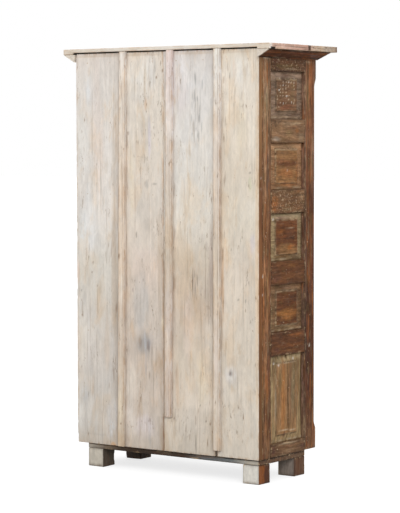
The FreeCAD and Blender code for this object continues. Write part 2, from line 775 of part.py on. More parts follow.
def make_hinges():
    straps = group("left_door_straps", [make_strap(i, rule) for i, rule in enumerate(HINGE_LEVELS, 1)])
    pintles = [make_pintle(i, rule) for i, rule in enumerate(HINGE_LEVELS, 1)]
    twins = [mirror(f"{pintle.Label}_right", pintle) for pintle in pintles]
    return [straps, mirror("right_door_straps", straps), group("hinge_pintles", pintles + twins)]


def make_pull():
    """A ring that hangs in an eye, and the eye on its rosette."""
    pull = piece("left_pull_ring", FRONT)
    ring(pull, "y", "pull_ring_radius", "pull_wire_radius",
         ("pull_x", "-pull_offset", "pull_pivot_z - pull_ring_radius"))
    eye = piece("left_pull_eye", FRONT)
    rod(eye, "Additive", "y", "rosette_radius", "iron_plate", ("pull_x", "0", "pull_height"))
    ring(eye, "x", "pull_eye_radius", "pull_eye_wire", ("pull_x", "-pull_offset", "pull_height"))
    return pull, eye


def make_guide(name, x):
    """A staple round the bolt, on its own small plate."""
    guide = piece(name, FRONT)
    block(guide, "Additive", (f"{x} - guide_wire - iron_plate", f"{x} + guide_wire + iron_plate"),
          ("-iron_plate", "0"), ("latch_height - guide_plate", "latch_height + guide_plate"))
    ring(guide, "x", "guide_radius", "guide_wire", (x, "-bolt_offset", "latch_height"))
    return guide


def make_latch_and_pulls():
    """Two ring pulls, and a slide bolt on the left door that shoots into a keeper on the right one."""
    bolt = piece("latch_bolt", FRONT)
    rod(bolt, "Additive", "x", "bolt_radius", "bolt_tip_x - bolt_tail_x",
        ("bolt_tail_x", "-bolt_offset", "latch_height"))
    rod(bolt, "Additive", "y", "knob_stem_radius", "knob_reach",
        ("knob_x", "-bolt_offset", "latch_height"))
    rod(bolt, "Additive", "y", "knob_radius", "knob_length",
        ("knob_x", "-bolt_offset - knob_reach + knob_length", "latch_height"))
    pull, eye = make_pull()
    twin_eye = mirror("right_pull_eye", eye)
    left = group("left_door_staples", [eye, make_guide("near_guide", "guide_near_x"),
                                       make_guide("far_guide", "guide_far_x")])
    right = group("right_door_staples", [twin_eye, make_guide("keeper", "-guide_near_x")])
    return [bolt, pull, mirror("right_pull_ring", pull), left, right]


def check_model(nodes):
    """Stops if any object failed, or a sub-part has no sound shape."""
    for item in doc.Objects:
        if "Invalid" in item.State or "Error" in item.State:
            raise RuntimeError(f"{item.Label} failed: {item.State}")
    for node in nodes:
        shape = node.Shape
        if shape.isNull() or not shape.isValid() or not shape.Solids:
            raise RuntimeError(f"{node.Label} has no sound shape")
    labels = [node.Label for node in nodes]
    if len(set(labels)) != len(labels):
        raise RuntimeError("two nodes share a name")


def main():
    nodes = (make_top() + make_cornice() + make_back() + make_corners() + make_side() + make_base()
             + make_inside() + make_front_frame() + make_doors() + make_hinges() + make_latch_and_pulls())
    doc.recompute()
    check_model(nodes)
    os.makedirs("parts", exist_ok=True)
    for node in nodes:
        node.Shape.exportStep(os.path.join("parts", node.Label + ".step"))
    print(len(nodes), "nodes,", sum(len(node.Shape.Solids) for node in nodes), "solids")
    # where the joints are, in millimetres
    for name in ("front_y", "hinge_x", "pin_offset", "pull_x", "pull_offset", "bolt_offset", "knob_x",
                 "bolt_travel"):
        print(name, round(value(name), 3))


main()
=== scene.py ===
import math
from itertools import product

import bpy
import numpy as np
from mathutils import Matrix, Vector


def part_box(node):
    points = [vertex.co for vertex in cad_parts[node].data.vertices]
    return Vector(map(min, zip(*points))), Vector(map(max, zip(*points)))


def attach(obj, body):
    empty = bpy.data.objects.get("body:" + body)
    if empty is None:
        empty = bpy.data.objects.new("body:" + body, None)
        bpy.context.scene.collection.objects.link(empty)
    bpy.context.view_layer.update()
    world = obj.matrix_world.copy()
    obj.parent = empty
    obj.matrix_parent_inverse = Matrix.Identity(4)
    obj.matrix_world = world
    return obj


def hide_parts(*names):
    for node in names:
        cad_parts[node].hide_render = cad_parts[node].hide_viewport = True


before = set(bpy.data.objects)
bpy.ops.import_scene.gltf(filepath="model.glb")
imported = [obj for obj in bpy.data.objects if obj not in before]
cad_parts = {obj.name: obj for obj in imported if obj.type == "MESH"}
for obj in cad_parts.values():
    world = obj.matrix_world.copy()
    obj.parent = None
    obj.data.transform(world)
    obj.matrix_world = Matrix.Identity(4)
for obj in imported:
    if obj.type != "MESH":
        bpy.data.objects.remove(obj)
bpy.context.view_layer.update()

# Where the carcass stands, read from the frame
BACK_Y = float(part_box("back_plank_1")[1][1])
SIDE_X = float(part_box("left_rail_1")[0][0])
BASE_X = float(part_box("base_board")[0][0])
FRONT_Y = float(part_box("front_post_left")[0][1])
POST_REAR_Y = float(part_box("front_post_left")[1][1])
STILE_FRONT_Y = float(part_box("rear_stile_left")[0][1])
UNDER_TOP = float(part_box("top_board_rear")[0][2])
TOP_END = float(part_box("top_board_rear")[1][0])
CARCASS_FOOT = float(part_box("base_board")[1][2])
DOOR_LOW, DOOR_HIGH = map(np.array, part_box("left_door_hinge_stile"))
SIDE_ACROSS = (POST_REAR_Y, STILE_FRONT_Y)

# Panels: how thick their plates are, how far they reach into the grooves, and the border's own depth
FRAME_THICK = 0.042
GROOVE_REACH = 0.009
PLATE_THICK = 0.0094
FIELD_STEP = 0.003
HALF_CRACK = 0.0015
SMALL_PANELS = 4
SIDE_BORDER, SIDE_FIELD = 0.0193, 0.008
TALL_MARGIN = (0.057, 0.037)
PANEL_MARGINS = ((0.057, 0.037), (0.051, 0.029), (0.050, 0.029), (0.054, 0.031))
TALL_CRACK_SHIFT = -0.014
DOOR_BORDER, DOOR_FIELD = 0.0133, 0.005
DOOR_MARGIN = (0.045, 0.035)
DOOR_RAIL, DOOR_FOOT_RAIL = 0.080, 0.100
DOOR_PANEL_SHARE = 0.1786

# The back. Each batten leans from its foot's x to its top's.
PLANK_THICK = 0.030
PLANK_SEAMS = (0.522, 0.250, 0.0085, -0.293, -0.522)
SPLIT_WIDTH, SPLIT_HEIGHT = 0.013, 0.095
BATTEN_HALF = 0.0185
BATTEN_LEANS = {1: (0.251, 0.235), 2: (-0.024, -0.037), 3: (-0.2995, -0.303)}
REBATE_HEIGHT, REBATE_PAST = 0.009, 0.008

# Colours as they look, in red, green and blue from 0 to 255
COLOURS = {
    "white": (229, 223, 214), "cream": (226, 217, 204), "cool_white": (225, 223, 220),
    "lilac": (220, 211, 212), "pink": (224, 205, 193), "yellow_cream": (222, 209, 184),
    "warm_cream": (219, 206, 188), "green_cream": (209, 203, 178), "orange_cream": (221, 196, 167),
    "tan": (199, 178, 155), "tan_grey": (184, 168, 151), "grey": (180, 173, 165),
    "blue_grey": (190, 189, 187), "purple_grey": (176, 160, 152), "umber": (142, 112, 88),
    "dark": (88, 70, 58), "black": (44, 33, 26), "orange_tan": (201, 160, 118),
    "red_brown": (104, 64, 46), "deep_brown": (82, 55, 38), "mid_brown": (120, 86, 60),
    "light_brown": (146, 112, 80), "orange_brown": (150, 98, 56), "brown_grey": (124, 98, 80),
    "olive": (122, 108, 78), "olive_grey": (130, 122, 100), "lilac_grey": (140, 124, 116),
    # the worn cream on the next line also makes the pale lines on panel arrises, which are partly painted
    # highlight
    "grey_beige": (146, 128, 106), "plum": (94, 66, 62), "worn_cream_and_highlight": (206, 190, 166),
    "bare_pine": (176, 140, 100), "rubbed": (196, 168, 130), "orange": (172, 110, 62),
    # the tan-grey (150, 133, 115) on the next line is painted shade beside the battens
    "brick": (112, 58, 36), "painted_shade": (150, 133, 115), "arris_brown": (132, 108, 86),
    "nail_cream": (206, 192, 176), "forged": (58, 50, 45), "rust": (112, 66, 40),
}


def linear(colour):
    """A colour as it looks, as the light it gives off."""
    shares = np.array(COLOURS[colour] if isinstance(colour, str) else colour) / 255
    return np.where(shares < 0.04045, shares / 12.92, ((shares + 0.055) / 1.055) ** 2.4)


def rgba(colour):
    """A colour for a node's socket."""
    return (*(float(share) for share in linear(colour)), 1.0)


# Smooth noise and steps on arrays of points

def noise(points, size, seed=0):
    """Smooth noise from -1 to 1, with features about as long as size along each axis."""
    cells = points / np.asarray(size) + seed * 7.31
    base = np.floor(cells).astype(np.int64)
    part = cells - base
    part = part * part * (3 - 2 * part)
    total = np.zeros(len(points))
    for corner in product((0, 1), repeat=3):
        key = base + corner
        code = key[:, 0] * 374761393 + key[:, 1] * 668265263 + key[:, 2] * 1440662683
        code = ((code ^ (code >> 13)) * 1274126177) & 0xFFFFFFFF
        level = ((code ^ (code >> 16)) & 0xFFFF) / 32767.5 - 1
        total += level * np.prod(np.where(corner, part, 1 - part), axis=1)
    return total


def rise(values, low, high):
    """0 below low, 1 above high, and smooth between. Low may be above high."""
    share = np.clip((values - low) / (high - low), 0, 1)
    return share * share * (3 - 2 * share)


def bell(away, width):
    """1 at no distance, smoothly down to about a third at the width."""
    return np.exp(-(away / width) ** 2)


# Forms: closed shapes of points and faces

class Form:
    """Points and faces of one shape, and how near each point is to a worn arris, from 0 to 1."""

    def __init__(self, points, faces, edge):
        self.points, self.faces, self.edge = points, faces, edge

    def turned(self, axes, offset=(0, 0, 0)):
        """The form with its axes sent to other ones. A mirrored one has its faces turned back."""
        matrix = np.array(axes, float)
        faces = self.faces if np.linalg.det(matrix) > 0 else [face[::-1] for face in self.faces]
        return Form(self.points @ matrix.T + np.array(offset), faces, self.edge)


MIRROR = ((-1, 0, 0), (0, 1, 0), (0, 0, 1))
SAME = ((1, 0, 0), (0, 1, 0), (0, 0, 1))
# These send a panel's own across, up and inward axes to a wall.
LEFT_WALL = ((0, 0, 1), (1, 0, 0), (0, 1, 0))
FRONT_WALL = ((1, 0, 0), (0, 0, 1), (0, 1, 0))
# These send a turned form's axis out of the front, out of the back, and along X.
TO_FRONT = ((1, 0, 0), (0, 0, -1), (0, 1, 0))
TO_BACK = ((1, 0, 0), (0, 0, 1), (0, 1, 0))
TO_X = ((0, 0, 1), (1, 0, 0), (0, 1, 0))

# Where a grid's lines stand near an arris, and near the foot and head of a panel's step
EDGE_PLACES = np.array((0.0, 0.0008, 0.0018, 0.0032, 0.0055))
STEP_PLACES = np.array((-0.0012, 0.0, 0.0009, 0.0022, 0.004))


def lines(low, high, step, extra=()):
    """Grid places from low to high, closer together near both ends."""
    near = EDGE_PLACES[EDGE_PLACES < (high - low) * 0.4]
    inner = np.linspace(low + near[-1], high - near[-1], max(2, round((high - low) / step) + 1))
    places = np.concatenate([low + near, inner, high - near, np.array(extra, float)])
    places = np.unique(np.round(places, 6))
    return places[np.concatenate([[True], np.diff(places) > 1e-4])]


def lattice(xs, ys, zs):
    """The points and faces of a box's surface, cut by a grid."""
    shape = (len(xs), len(ys), len(zs))
    skin = np.ones(shape, bool)
    skin[1:-1, 1:-1, 1:-1] = False
    index = np.full(shape, -1)
    index[skin] = np.arange(skin.sum())
    points = np.stack(np.meshgrid(xs, ys, zs, indexing="ij"), -1)[skin]
    faces = []
    for axis, end in product(range(3), (0, -1)):
        side = index.take(end, axis=axis)
        quads = np.stack([side[:-1, :-1], side[1:, :-1], side[1:, 1:], side[:-1, 1:]], -1).reshape(-1, 4)
        inward = (end == 0) != (axis == 1)
        faces += (quads[:, ::-1] if inward else quads).tolist()
    return points, faces


def nearness(points, low, high):
    """How near each point of a box's surface is to its arrises."""
    gaps = np.sort(np.minimum(points - low, high - points), axis=1)
    return bell(gaps[:, 1], 0.007)


def soften(points, low, high, wear, seed):
    """Rounds a box's arrises, more in some places, with small chips."""
    chips = rise(noise(points, (0.016, 0.016, 0.022), seed), 0.45, 0.9)
    radius = wear * (1 + 0.5 * noise(points, 0.06, seed + 1)) + 1.8 * wear * chips
    radius = np.clip(radius, 0.0004, 0.42 * (high - low).min())[:, None]
    inner = np.clip(points, low + radius, high - radius)
    away = points - inner
    length = np.linalg.norm(away, axis=1)[:, None]
    return inner + away * radius / np.maximum(length, 1e-9)


def board(low, high, step, wear, seed, wave, extra=((), (), ())):
    """A plank between two corners, cut by a grid of these steps, with arrises worn to about this radius.

    Wave is how deep the hollows of its faces are, and extra holds more grid places along each axis.
    """
    low, high = np.array(low, float), np.array(high, float)
    points, faces = lattice(*(lines(low[i], high[i], step[i], extra[i]) for i in range(3)))
    edge = nearness(points, low, high)
    points = soften(points, low, high, wear, seed)
    thin = int(np.argmin(high - low))
    size = np.where(high - low == (high - low).max(), 0.35, 0.05)
    hollow = wave * (0.5 + 0.5 * noise(points, size, seed + 2))
    middle = (low[thin] + high[thin]) / 2
    points[:, thin] -= np.sign(points[:, thin] - middle) * hollow
    return Form(points, faces, edge)


def raised_panel(across, up, border, field, margin, seed, cracks=(False, False)):
    """A panel with a sloped border and a raised field, in across, up and inward coordinates.

    A side that is a crack has no border, and no tongue in a groove.
    """
    step = 0.0055
    reach = [0.0 if crack else GROOVE_REACH for crack in cracks]
    wide, tall = [], []
    for place, sign, crack in zip(across, (1, -1), cracks):
        if not crack:
            wide += [place, place + sign * 0.002, *(place + sign * (margin[0] + STEP_PLACES))]
    for place, sign in zip(up, (1, -1)):
        tall += [place, place + sign * 0.002, *(place + sign * (margin[1] + STEP_PLACES))]
    back = border + PLATE_THICK
    points, faces = lattice(lines(across[0] - reach[0], across[1] + reach[1], step, wide),
                            lines(up[0] - GROOVE_REACH, up[1] + GROOVE_REACH, step, tall),
                            np.array((border, back)))
    a, b = points[:, 0], points[:, 1]
    gap_a = np.minimum(math.inf if cracks[0] else a - across[0], math.inf if cracks[1] else across[1] - a)
    gap_b = np.minimum(b - up[0], up[1] - b)
    wander = 0.0006 * noise(points, (0.05, 0.05, 1), seed)
    slope = np.minimum((gap_a + wander) / margin[0], (gap_b + wander) / margin[1])
    past = np.minimum(gap_a - margin[0], gap_b - margin[1]) + wander
    depth = border - (border - field - FIELD_STEP) * np.clip(slope, 0, 1)
    depth -= FIELD_STEP * rise(past, -0.0004, 0.0024)
    depth += 0.0007 * (0.5 + 0.5 * noise(points, (0.03, 0.12, 1), seed + 3))
    for crack, place in zip(cracks, across):
        if crack:
            depth += 0.003 * bell(a - place, 0.0025)
    front = points[:, 2] < (border + back) / 2
    points[:, 2] = np.where(front, depth, back)
    return Form(points, faces, bell(past, 0.0035) * front)


def tall_forms(across, up, border, field, margin, seed, shift=0.0):
    """The two boards of a tall panel, with a crack between them."""
    middle = (across[0] + across[1]) / 2 + shift
    halves = ((across[0], middle - HALF_CRACK), (middle + HALF_CRACK, across[1]))
    return [raised_panel(half, up, border, field, margin, seed=seed + i, cracks=(i == 1, i == 0))
            for i, half in enumerate(halves)]


def ring_faces(rings, sides, wrap=False):
    """Faces between rings of points. With wrap, the last ring meets the first one too."""
    faces = []
    for ring, side in product(range(rings if wrap else rings - 1), range(sides)):
        a, b = ring * sides + side, ring * sides + (side + 1) % sides
        step = sides if ring < rings - 1 else -ring * sides
        faces.append([a, b, b + step, a + step])
    return faces


def caps(count, sides):
    """Faces that close the first and the last ring of so many points."""
    return [list(range(sides))[::-1], list(range(count - sides, count))]


def lathe(profile, sides, wrap=False):
    """A form turned about Z from pairs of radius and height, from the bottom up.

    With wrap the profile is closed, and the form is open through its middle.
    """
    angle = np.arange(sides) * 2 * math.pi / sides
    points = np.concatenate([np.stack([r * np.cos(angle), r * np.sin(angle), np.full(sides, z)], -1)
                             for r, z in profile])
    faces = ring_faces(len(profile), sides, wrap) + ([] if wrap else caps(len(points), sides))
    return Form(points, faces, np.full(len(points), 0.4))


def turned_rod(profile, sides, rough=0.0, seed=0):
    """A slightly uneven turned solid."""
    form = lathe(profile, sides)
    form.points[:, :2] *= 1 - rough * (0.5 + 0.5 * noise(form.points, 0.008, seed))[:, None]
    return form


def rounded(radius, low, high, corner):
    """The profile of a rod with rounded ends."""
    turns = [math.radians(step * 22.5) for step in range(5)]
    ends = [(radius - corner * (1 - math.sin(t)), low + corner * (1 - math.cos(t))) for t in turns]
    return ends + [(r, low + high - z) for r, z in reversed(ends)]


def hoop(radius, wire, turns, sides, rough, seed):
    """A ring of slightly uneven round wire about Z."""
    section = [(radius + wire * math.cos(angle), wire * math.sin(angle))
               for angle in np.arange(sides) * 2 * math.pi / sides]
    form = lathe(section, turns, wrap=True)
    centre = form.points * (1, 1, 0)
    centre *= radius / np.linalg.norm(centre, axis=1)[:, None]
    thin = 1 - rough * (0.5 + 0.5 * noise(form.points, 0.009, seed))
    form.points = centre + (form.points - centre) * thin[:, None]
    return form


def tube(radius, bore, low, high):
    """A short tube about Z, open through, with small chamfers."""
    corner = 0.0008
    foot = [(bore, low + corner), (bore + corner, low), (radius - corner, low), (radius, low + corner)]
    return lathe(foot + [(r, low + high - z) for r, z in reversed(foot)], 40, wrap=True)


# Paint: each board's colours come from tones along it and from stains named by place and colour

XZ = (0, 2)
YZ = (1, 2)


def blend(shades, share, others):
    """Colours that go towards other ones, by a share from 0 to 1 at each point."""
    return shades + share[:, None] * (others - shades)


def over(shades, share, colour):
    """Colours with one named or given colour laid over them, by a share at each point."""
    return blend(shades, share, linear(colour))


def paint(points, along, tones):
    """Colours that change smoothly along an axis through pairs of place and colour."""
    tones = sorted(tones, key=lambda tone: tone[0])
    places = [tone[0] for tone in tones]
    shades = np.array([linear(tone[1]) for tone in tones])
    return np.stack([np.interp(points[:, along], places, shades[:, i]) for i in range(3)], -1)


def across_shares(shades, points, shares, seed):
    """Colours changed across an upright, in bands of y that waver along it."""
    places = points[:, 1] + 0.004 * noise(points, (0.02, 0.02, 0.16), seed)
    levels, factors = zip(*sorted(shares))
    return shades * np.stack([np.interp(places, levels, factor) for factor in zip(*factors)], -1)


def stains(shades, points, axes, marks, seed):
    """Soft ragged stains: each mark is (across, up, half width, half height, colour, strength)."""
    for number, (across, up, half_across, half_up, colour, strength) in enumerate(marks, seed):
        half = np.array((half_across, half_up))
        size = np.full(3, 0.02)
        size[list(axes)] = np.maximum(half * 0.7, 0.004)
        ragged = [0.35 * noise(points, size, number + more) for more in (0, 5)]
        away = [(points[:, axis] - place) / reach + bent
                for axis, place, reach, bent in zip(axes, (across, up), half, ragged)]
        shades = over(shades, strength * rise(np.hypot(*away), 1.3, 0.45), colour)
    return shades


def each_own(forms, paints):
    """A paint for several forms, each with its own one."""
    ends = np.cumsum([len(form.points) for form in forms])[:-1]
    return lambda points: np.concatenate([own(part) for own, part in zip(paints, np.split(points, ends))])


def piece(name, forms, colours, finish, nodes, body="root", shift=0.0):
    """One mesh object from forms. It stands for its CAD nodes and rides on their body."""
    points = np.concatenate([form.points for form in forms])
    faces, start = [], 0
    for form in forms:
        faces += [[corner + start for corner in face] for face in form.faces]
        start += len(form.points)
    mesh = bpy.data.meshes.new(name)
    mesh.from_pydata(points.tolist(), [], faces)
    mesh.shade_smooth()
    mesh.set_sharp_from_angle(angle=math.radians(38))
    shades = colours(points) if callable(colours) else np.tile(linear(colours), (len(points), 1))
    shades = np.concatenate([np.clip(shades, 0, 1), np.ones((len(points), 1))], axis=1)
    edge = np.concatenate([form.edge for form in forms])
    for key, kind, field, values in (("edge", "FLOAT", "value", edge),
                                     ("shift", "FLOAT", "value", np.full(len(points), shift)),
                                     ("tint", "FLOAT_COLOR", "color", shades)):
        data = mesh.attributes.new(key, kind, "POINT").data
        data.foreach_set(field, values.astype(np.float32).ravel())
    made = bpy.data.objects.new(name, mesh)
    bpy.context.scene.collection.objects.link(made)
    material, slot = MATERIALS[finish]
    mesh.materials.append(material)
    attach(made, body)
    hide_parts(*nodes)
    return made


# Materials

class Graph:
    """A material's or world's node graph, built by short calls."""

    def __init__(self, owner, grain=None):
        self.owner, self.grain = owner, grain
        owner.use_nodes = True
        self.tree = owner.node_tree
        self.tree.nodes.clear()

    def add(self, kind, inputs=(), **settings):
        """A node, with its inputs linked or set."""
        made = self.tree.nodes.new("ShaderNode" + kind)
        for key, setting in settings.items():
            setattr(made, key, setting)
        for socket, given in dict(inputs).items():
            if isinstance(given, bpy.types.NodeSocket):
                self.tree.links.new(given, made.inputs[socket])
            else:
                made.inputs[socket].default_value = given
        return made

    def calc(self, operation, *values):
        """One step of arithmetic."""
        return self.add("Math", enumerate(values), operation=operation).outputs[0]

    def times(self, first, second):
        return self.calc("MULTIPLY", first, second)

    def total(self, *layers):
        """The sum of pairs of a value and its weight."""
        parts = [self.times(value, weight) for value, weight in layers]
        result = parts[0]
        for part in parts[1:]:
            result = self.calc("ADD", result, part)
        return result

    def attribute(self, name, output="Fac"):
        """What the mesh holds at each point."""
        return self.add("Attribute", attribute_name=name, attribute_type="GEOMETRY").outputs[output]

    def place(self, scale, seed):
        """The object's own coordinates, stretched, and moved by the piece's own shift."""
        shift = self.calc("ADD", self.attribute("shift"), seed)
        offset = self.add("CombineXYZ", {0: shift, 1: self.times(shift, 1.7),
                                         2: self.times(shift, 2.3)}).outputs[0]
        moved = self.add("VectorMath", {0: self.add("TexCoord").outputs["Object"], 1: offset},
                         operation="ADD").outputs[0]
        return self.add("VectorMath", {0: moved, 1: scale}, operation="MULTIPLY").outputs[0]

    def noise(self, scale, detail, rough, seed, bend=0.0):
        """A smooth noise, with its own scale along each axis."""
        return self.add("TexNoise", {"Vector": self.place(scale, seed), "Scale": 1.0, "Detail": detail,
                                     "Roughness": rough, "Distortion": bend}).outputs[0]

    def grained(self, across, length, detail, rough, seed=0.0, bend=0.0):
        """A noise stretched along the grain, from its sizes across it and along it in metres."""
        scale = tuple(1 / length if axis == self.grain else 1 / across for axis in "xyz")
        return self.noise(scale, detail, rough, seed, bend)

    def span(self, given, low, high, to_low=0.0, to_high=1.0):
        """A value between low and high, sent smoothly to between two others."""
        return self.add("MapRange", {0: given, 1: low, 2: high, 3: to_low, 4: to_high},
                        interpolation_type="SMOOTHSTEP").outputs[0]

    def mix(self, share, first, second, kind="MIX"):
        """The first colour, with a share of the second mixed in."""
        made = self.add("Mix", {0: share, 6: first, 7: second}, data_type="RGBA", blend_type=kind)
        return made.outputs[2]

    def wash(self, share, colour, left):
        """A colour with only some shares of its red, green and blue left."""
        return self.mix(share, colour, (*left, 1.0), "MULTIPLY")

    def shade(self, colour, given, low, high):
        """A colour made darker where a noise is low, and lighter where it is high."""
        level = self.span(given, 0.34, 0.66, low, high)
        grey = self.add("CombineXYZ", {0: level, 1: level, 2: level}).outputs[0]
        return self.mix(1.0, colour, grey, "MULTIPLY")

    def finish(self, colour, roughness, height, depth, metallic=0.0, specular=0.5):
        """The material, from its colour, its roughness and the height of its bumps."""
        bump = self.add("Bump", {"Height": height, "Distance": depth, "Strength": 1.0}).outputs[0]
        shader = self.add("BsdfPrincipled", {"Base Color": colour, "Roughness": roughness, "Normal": bump})
        shader.inputs["Metallic"].default_value = metallic
        shader.inputs["Specular IOR Level"].default_value = specular
        self.add("OutputMaterial", {"Surface": shader.outputs[0]})
        return self.owner


# What wear and weather do to the white paint: shares of red, green and blue that are left
WASH = {"cool": (1.01, 1.03, 1.06), "warm": (1.00, 0.93, 0.85), "tan": (0.88, 0.77, 0.64),
        "grey": (0.79, 0.77, 0.77), "brown": (0.42, 0.31, 0.22), "rust": (0.80, 0.60, 0.42)}
# Each layer of it: a noise, the levels where it begins and is full, its strength, and its wash
WASH_LAYERS = (((0.13, 0.30, 5.0, 0.62, 8.2, 0.4), 0.51, 0.64, 0.80, "cool"),
               ((0.13, 0.30, 5.0, 0.62, 8.2, 0.4), 0.49, 0.36, 0.80, "warm"),
               ((0.05, 0.22, 7.0, 0.70, 11.4, 0.4), 0.54, 0.68, 0.50, "tan"),
               ((0.036, 0.11, 7.0, 0.72, 14.9, 0.5), 0.57, 0.69, 0.42, "grey"),
               ((0.0085, 0.40, 4.0, 0.60, 16.1, 0.1), 0.60, 0.68, 0.30, "brown"))
WASH_LIFT = 1.075


def whitewash(name, grain):
    """Thin white paint over pine: soft patches, faint streaks, and dark strokes here and there."""
    g = Graph(bpy.data.materials.new(name), grain)
    broad = g.grained(0.12, 0.50, 4.0, 0.6)
    mottle = g.grained(0.030, 0.075, 7.0, 0.70, 3.1, 0.5)
    streak = g.grained(0.012, 0.22, 5.0, 0.62, 5.7, 0.2)
    hair = g.grained(0.0016, 0.020, 2.0, 0.5, 6.9)
    where = g.grained(0.12, 0.26, 4.0, 0.6, 7.7)
    colour = g.shade(g.attribute("tint", "Color"), broad, 0.96 * WASH_LIFT, 1.05 * WASH_LIFT)
    colour = g.shade(colour, mottle, 0.935, 1.06)
    colour = g.mix(g.span(where, 0.42, 0.60, 0.15, 1.0), colour, g.shade(colour, streak, 0.92, 1.05))
    colour = g.shade(colour, hair, 0.97, 1.03)
    for pattern, low, high, strength, kind in WASH_LAYERS:
        colour = g.wash(g.span(g.grained(*pattern), low, high, 0.0, strength), colour, WASH[kind])
    near = g.span(g.grained(0.08, 0.16, 3.0, 0.6, 19.2), 0.52, 0.62, 0.02, 1.0)
    dashes = g.times(g.span(g.grained(0.0075, 0.040, 4.0, 0.62, 17.3, 0.4), 0.58, 0.66), near)
    colour = g.wash(g.times(dashes, 0.72), colour, WASH["brown"])
    rub = g.span(g.grained(0.014, 0.06, 4.0, 0.6, 21.0), 0.46, 0.58)
    colour = g.wash(g.times(g.times(g.attribute("edge"), rub), 0.55), colour, WASH["rust"])
    height = g.total((mottle, 0.5), (streak, 0.6), (hair, 0.25), (dashes, -0.3))
    return g.finish(colour, g.span(streak, 0.3, 0.7, 0.74, 0.90), height, 0.0012, specular=0.2)


# The wax over the old brown paint: shares of red, green and blue that come through
GLAZE = (1.05, 0.93, 0.80)
NO_GLAZE = (1.0, 1.0, 1.0)
# Streaks of the old brown paint: colour, how wide and long, where they begin, and their strength
UPRIGHT_STREAKS = (("orange", 0.019, 0.22, 0.54, 0.62, 0.52), ("deep_brown", 0.017, 0.20, 0.54, 0.62, 0.75),
                   ("grey_beige", 0.016, 0.15, 0.57, 0.65, 0.50), ("brick", 0.020, 0.20, 0.56, 0.66, 0.60),
                   ("black", 0.0095, 0.10, 0.61, 0.69, 0.75))
LEVEL_STREAKS = (("orange_brown", 0.024, 0.10, 0.56, 0.72, 0.45),
                 ("deep_brown", 0.016, 0.10, 0.54, 0.64, 0.60),
                 ("grey_beige", 0.018, 0.06, 0.58, 0.68, 0.30), ("brick", 0.026, 0.12, 0.56, 0.70, 0.45),
                 ("black", 0.0085, 0.06, 0.61, 0.69, 0.60))


def old_paint(name, grain, base=None, film=0.5, flecks=0.8, contrast=1.0, speckle=0.0, rub=(0.50, 0.66),
              streaks=UPRIGHT_STREAKS, glaze=GLAZE):
    """Old brown wood: streaks of many browns, the last of a grey-green paint, flecks and rubbed arrises.

    Its colour is a named base, or else each point's own tint.
    """
    g = Graph(bpy.data.materials.new(name), grain)
    tint = rgba(base) if base else g.attribute("tint", "Color")
    streak = g.grained(0.012, 0.14, 6.0, 0.68, 3.3)
    mottle = g.grained(0.018, 0.030, 5.0, 0.68, 5.2)
    hair = g.grained(0.0042, 0.035, 4.0, 0.65, 6.1)
    colour = g.shade(tint, g.grained(0.05, 0.22, 5.0, 0.62), 1 - 0.20 * contrast, 1 + 0.20 * contrast)
    colour = g.shade(colour, streak, 1 - 0.38 * contrast, 1 + 0.40 * contrast)
    colour = g.shade(colour, mottle, 1 - 0.24 * contrast, 1 + 0.22 * contrast)
    colour = g.shade(colour, hair, 0.80, 1.20)
    for number, (shade, across, length, low, high, strength) in enumerate(streaks):
        layer = g.grained(across, length, 5.0, 0.64, 9.4 + 2.3 * number, 0.2)
        colour = g.mix(g.span(layer, low, high, 0.0, strength * contrast), colour, rgba(shade))
    coat = g.grained(0.030, 0.07, 6.0, 0.7, 12.6)
    colour = g.mix(g.span(coat, 0.54, 0.63, 0.0, film), colour, rgba("olive"))
    where = g.span(g.grained(0.05, 0.09, 3.0, 0.6, 24.1), 0.48, 0.62, 0.1, 1.0)
    chips = g.times(g.span(g.grained(0.0095, 0.013, 3.0, 0.5, 18.8), 0.66, 0.72), where)
    colour = g.mix(g.times(chips, flecks), colour, rgba("worn_cream_and_highlight"))
    if speckle:
        punches = g.noise((105, 105, 130), 2.0, 0.5, 33.0)
        colour = g.mix(g.span(punches, 0.47, 0.39, 0.0, speckle), colour, rgba("dark"))
        colour = g.mix(g.span(punches, 0.58, 0.65, 0.0, speckle), colour, rgba("worn_cream_and_highlight"))
    colour = g.wash(1.0, colour, glaze)
    if base is None:
        # where the tint is pale, the wood keeps more of it
        pale = g.span(g.add("RGBToBW", {"Color": tint}).outputs[0], 0.26, 0.46, 0.0, 0.80)
        colour = g.mix(pale, colour, g.shade(tint, mottle, 0.88, 1.08))
    broken = g.times(g.span(g.grained(0.014, 0.045, 4.0, 0.65, 27.5), *rub),
                     g.span(g.grained(0.06, 0.22, 3.0, 0.6, 29.3), 0.40, 0.60, 0.15, 1.0))
    edge = g.attribute("edge")
    colour = g.mix(g.times(edge, 0.34), colour, rgba("black"))
    colour = g.mix(g.times(g.times(edge, broken), 0.80), colour, rgba("rubbed"))
    height = g.total((streak, 0.8), (coat, 0.3), (chips, 0.25), (hair, 0.15))
    return g.finish(colour, g.span(coat, 0.35, 0.65, 0.52, 0.80), height, 0.0016, specular=0.12)


def iron(name, base):
    """Forged iron: dark and blotched, with rust in some of the blotches."""
    g = Graph(bpy.data.materials.new(name))
    blotch = g.noise((60, 60, 60), 5.0, 0.65, 2.2)
    grain = g.noise((420, 420, 420), 3.0, 0.6, 4.4)
    colour = g.shade(rgba(base), blotch, 0.7, 1.3)
    colour = g.mix(g.span(blotch, 0.52, 0.66, 0.0, 0.4), colour, rgba("rust"))
    colour = g.shade(colour, grain, 0.85, 1.12)
    height = g.total((blotch, 1.0), (grain, 0.3))
    return g.finish(colour, g.span(blotch, 0.35, 0.65, 0.42, 0.72), height, 0.0010, metallic=0.6)


LEVEL = {"streaks": LEVEL_STREAKS}
FIELD_RUB = {"rub": (0.42, 0.60)}
BARE = {"film": 0.0, "glaze": NO_GLAZE}
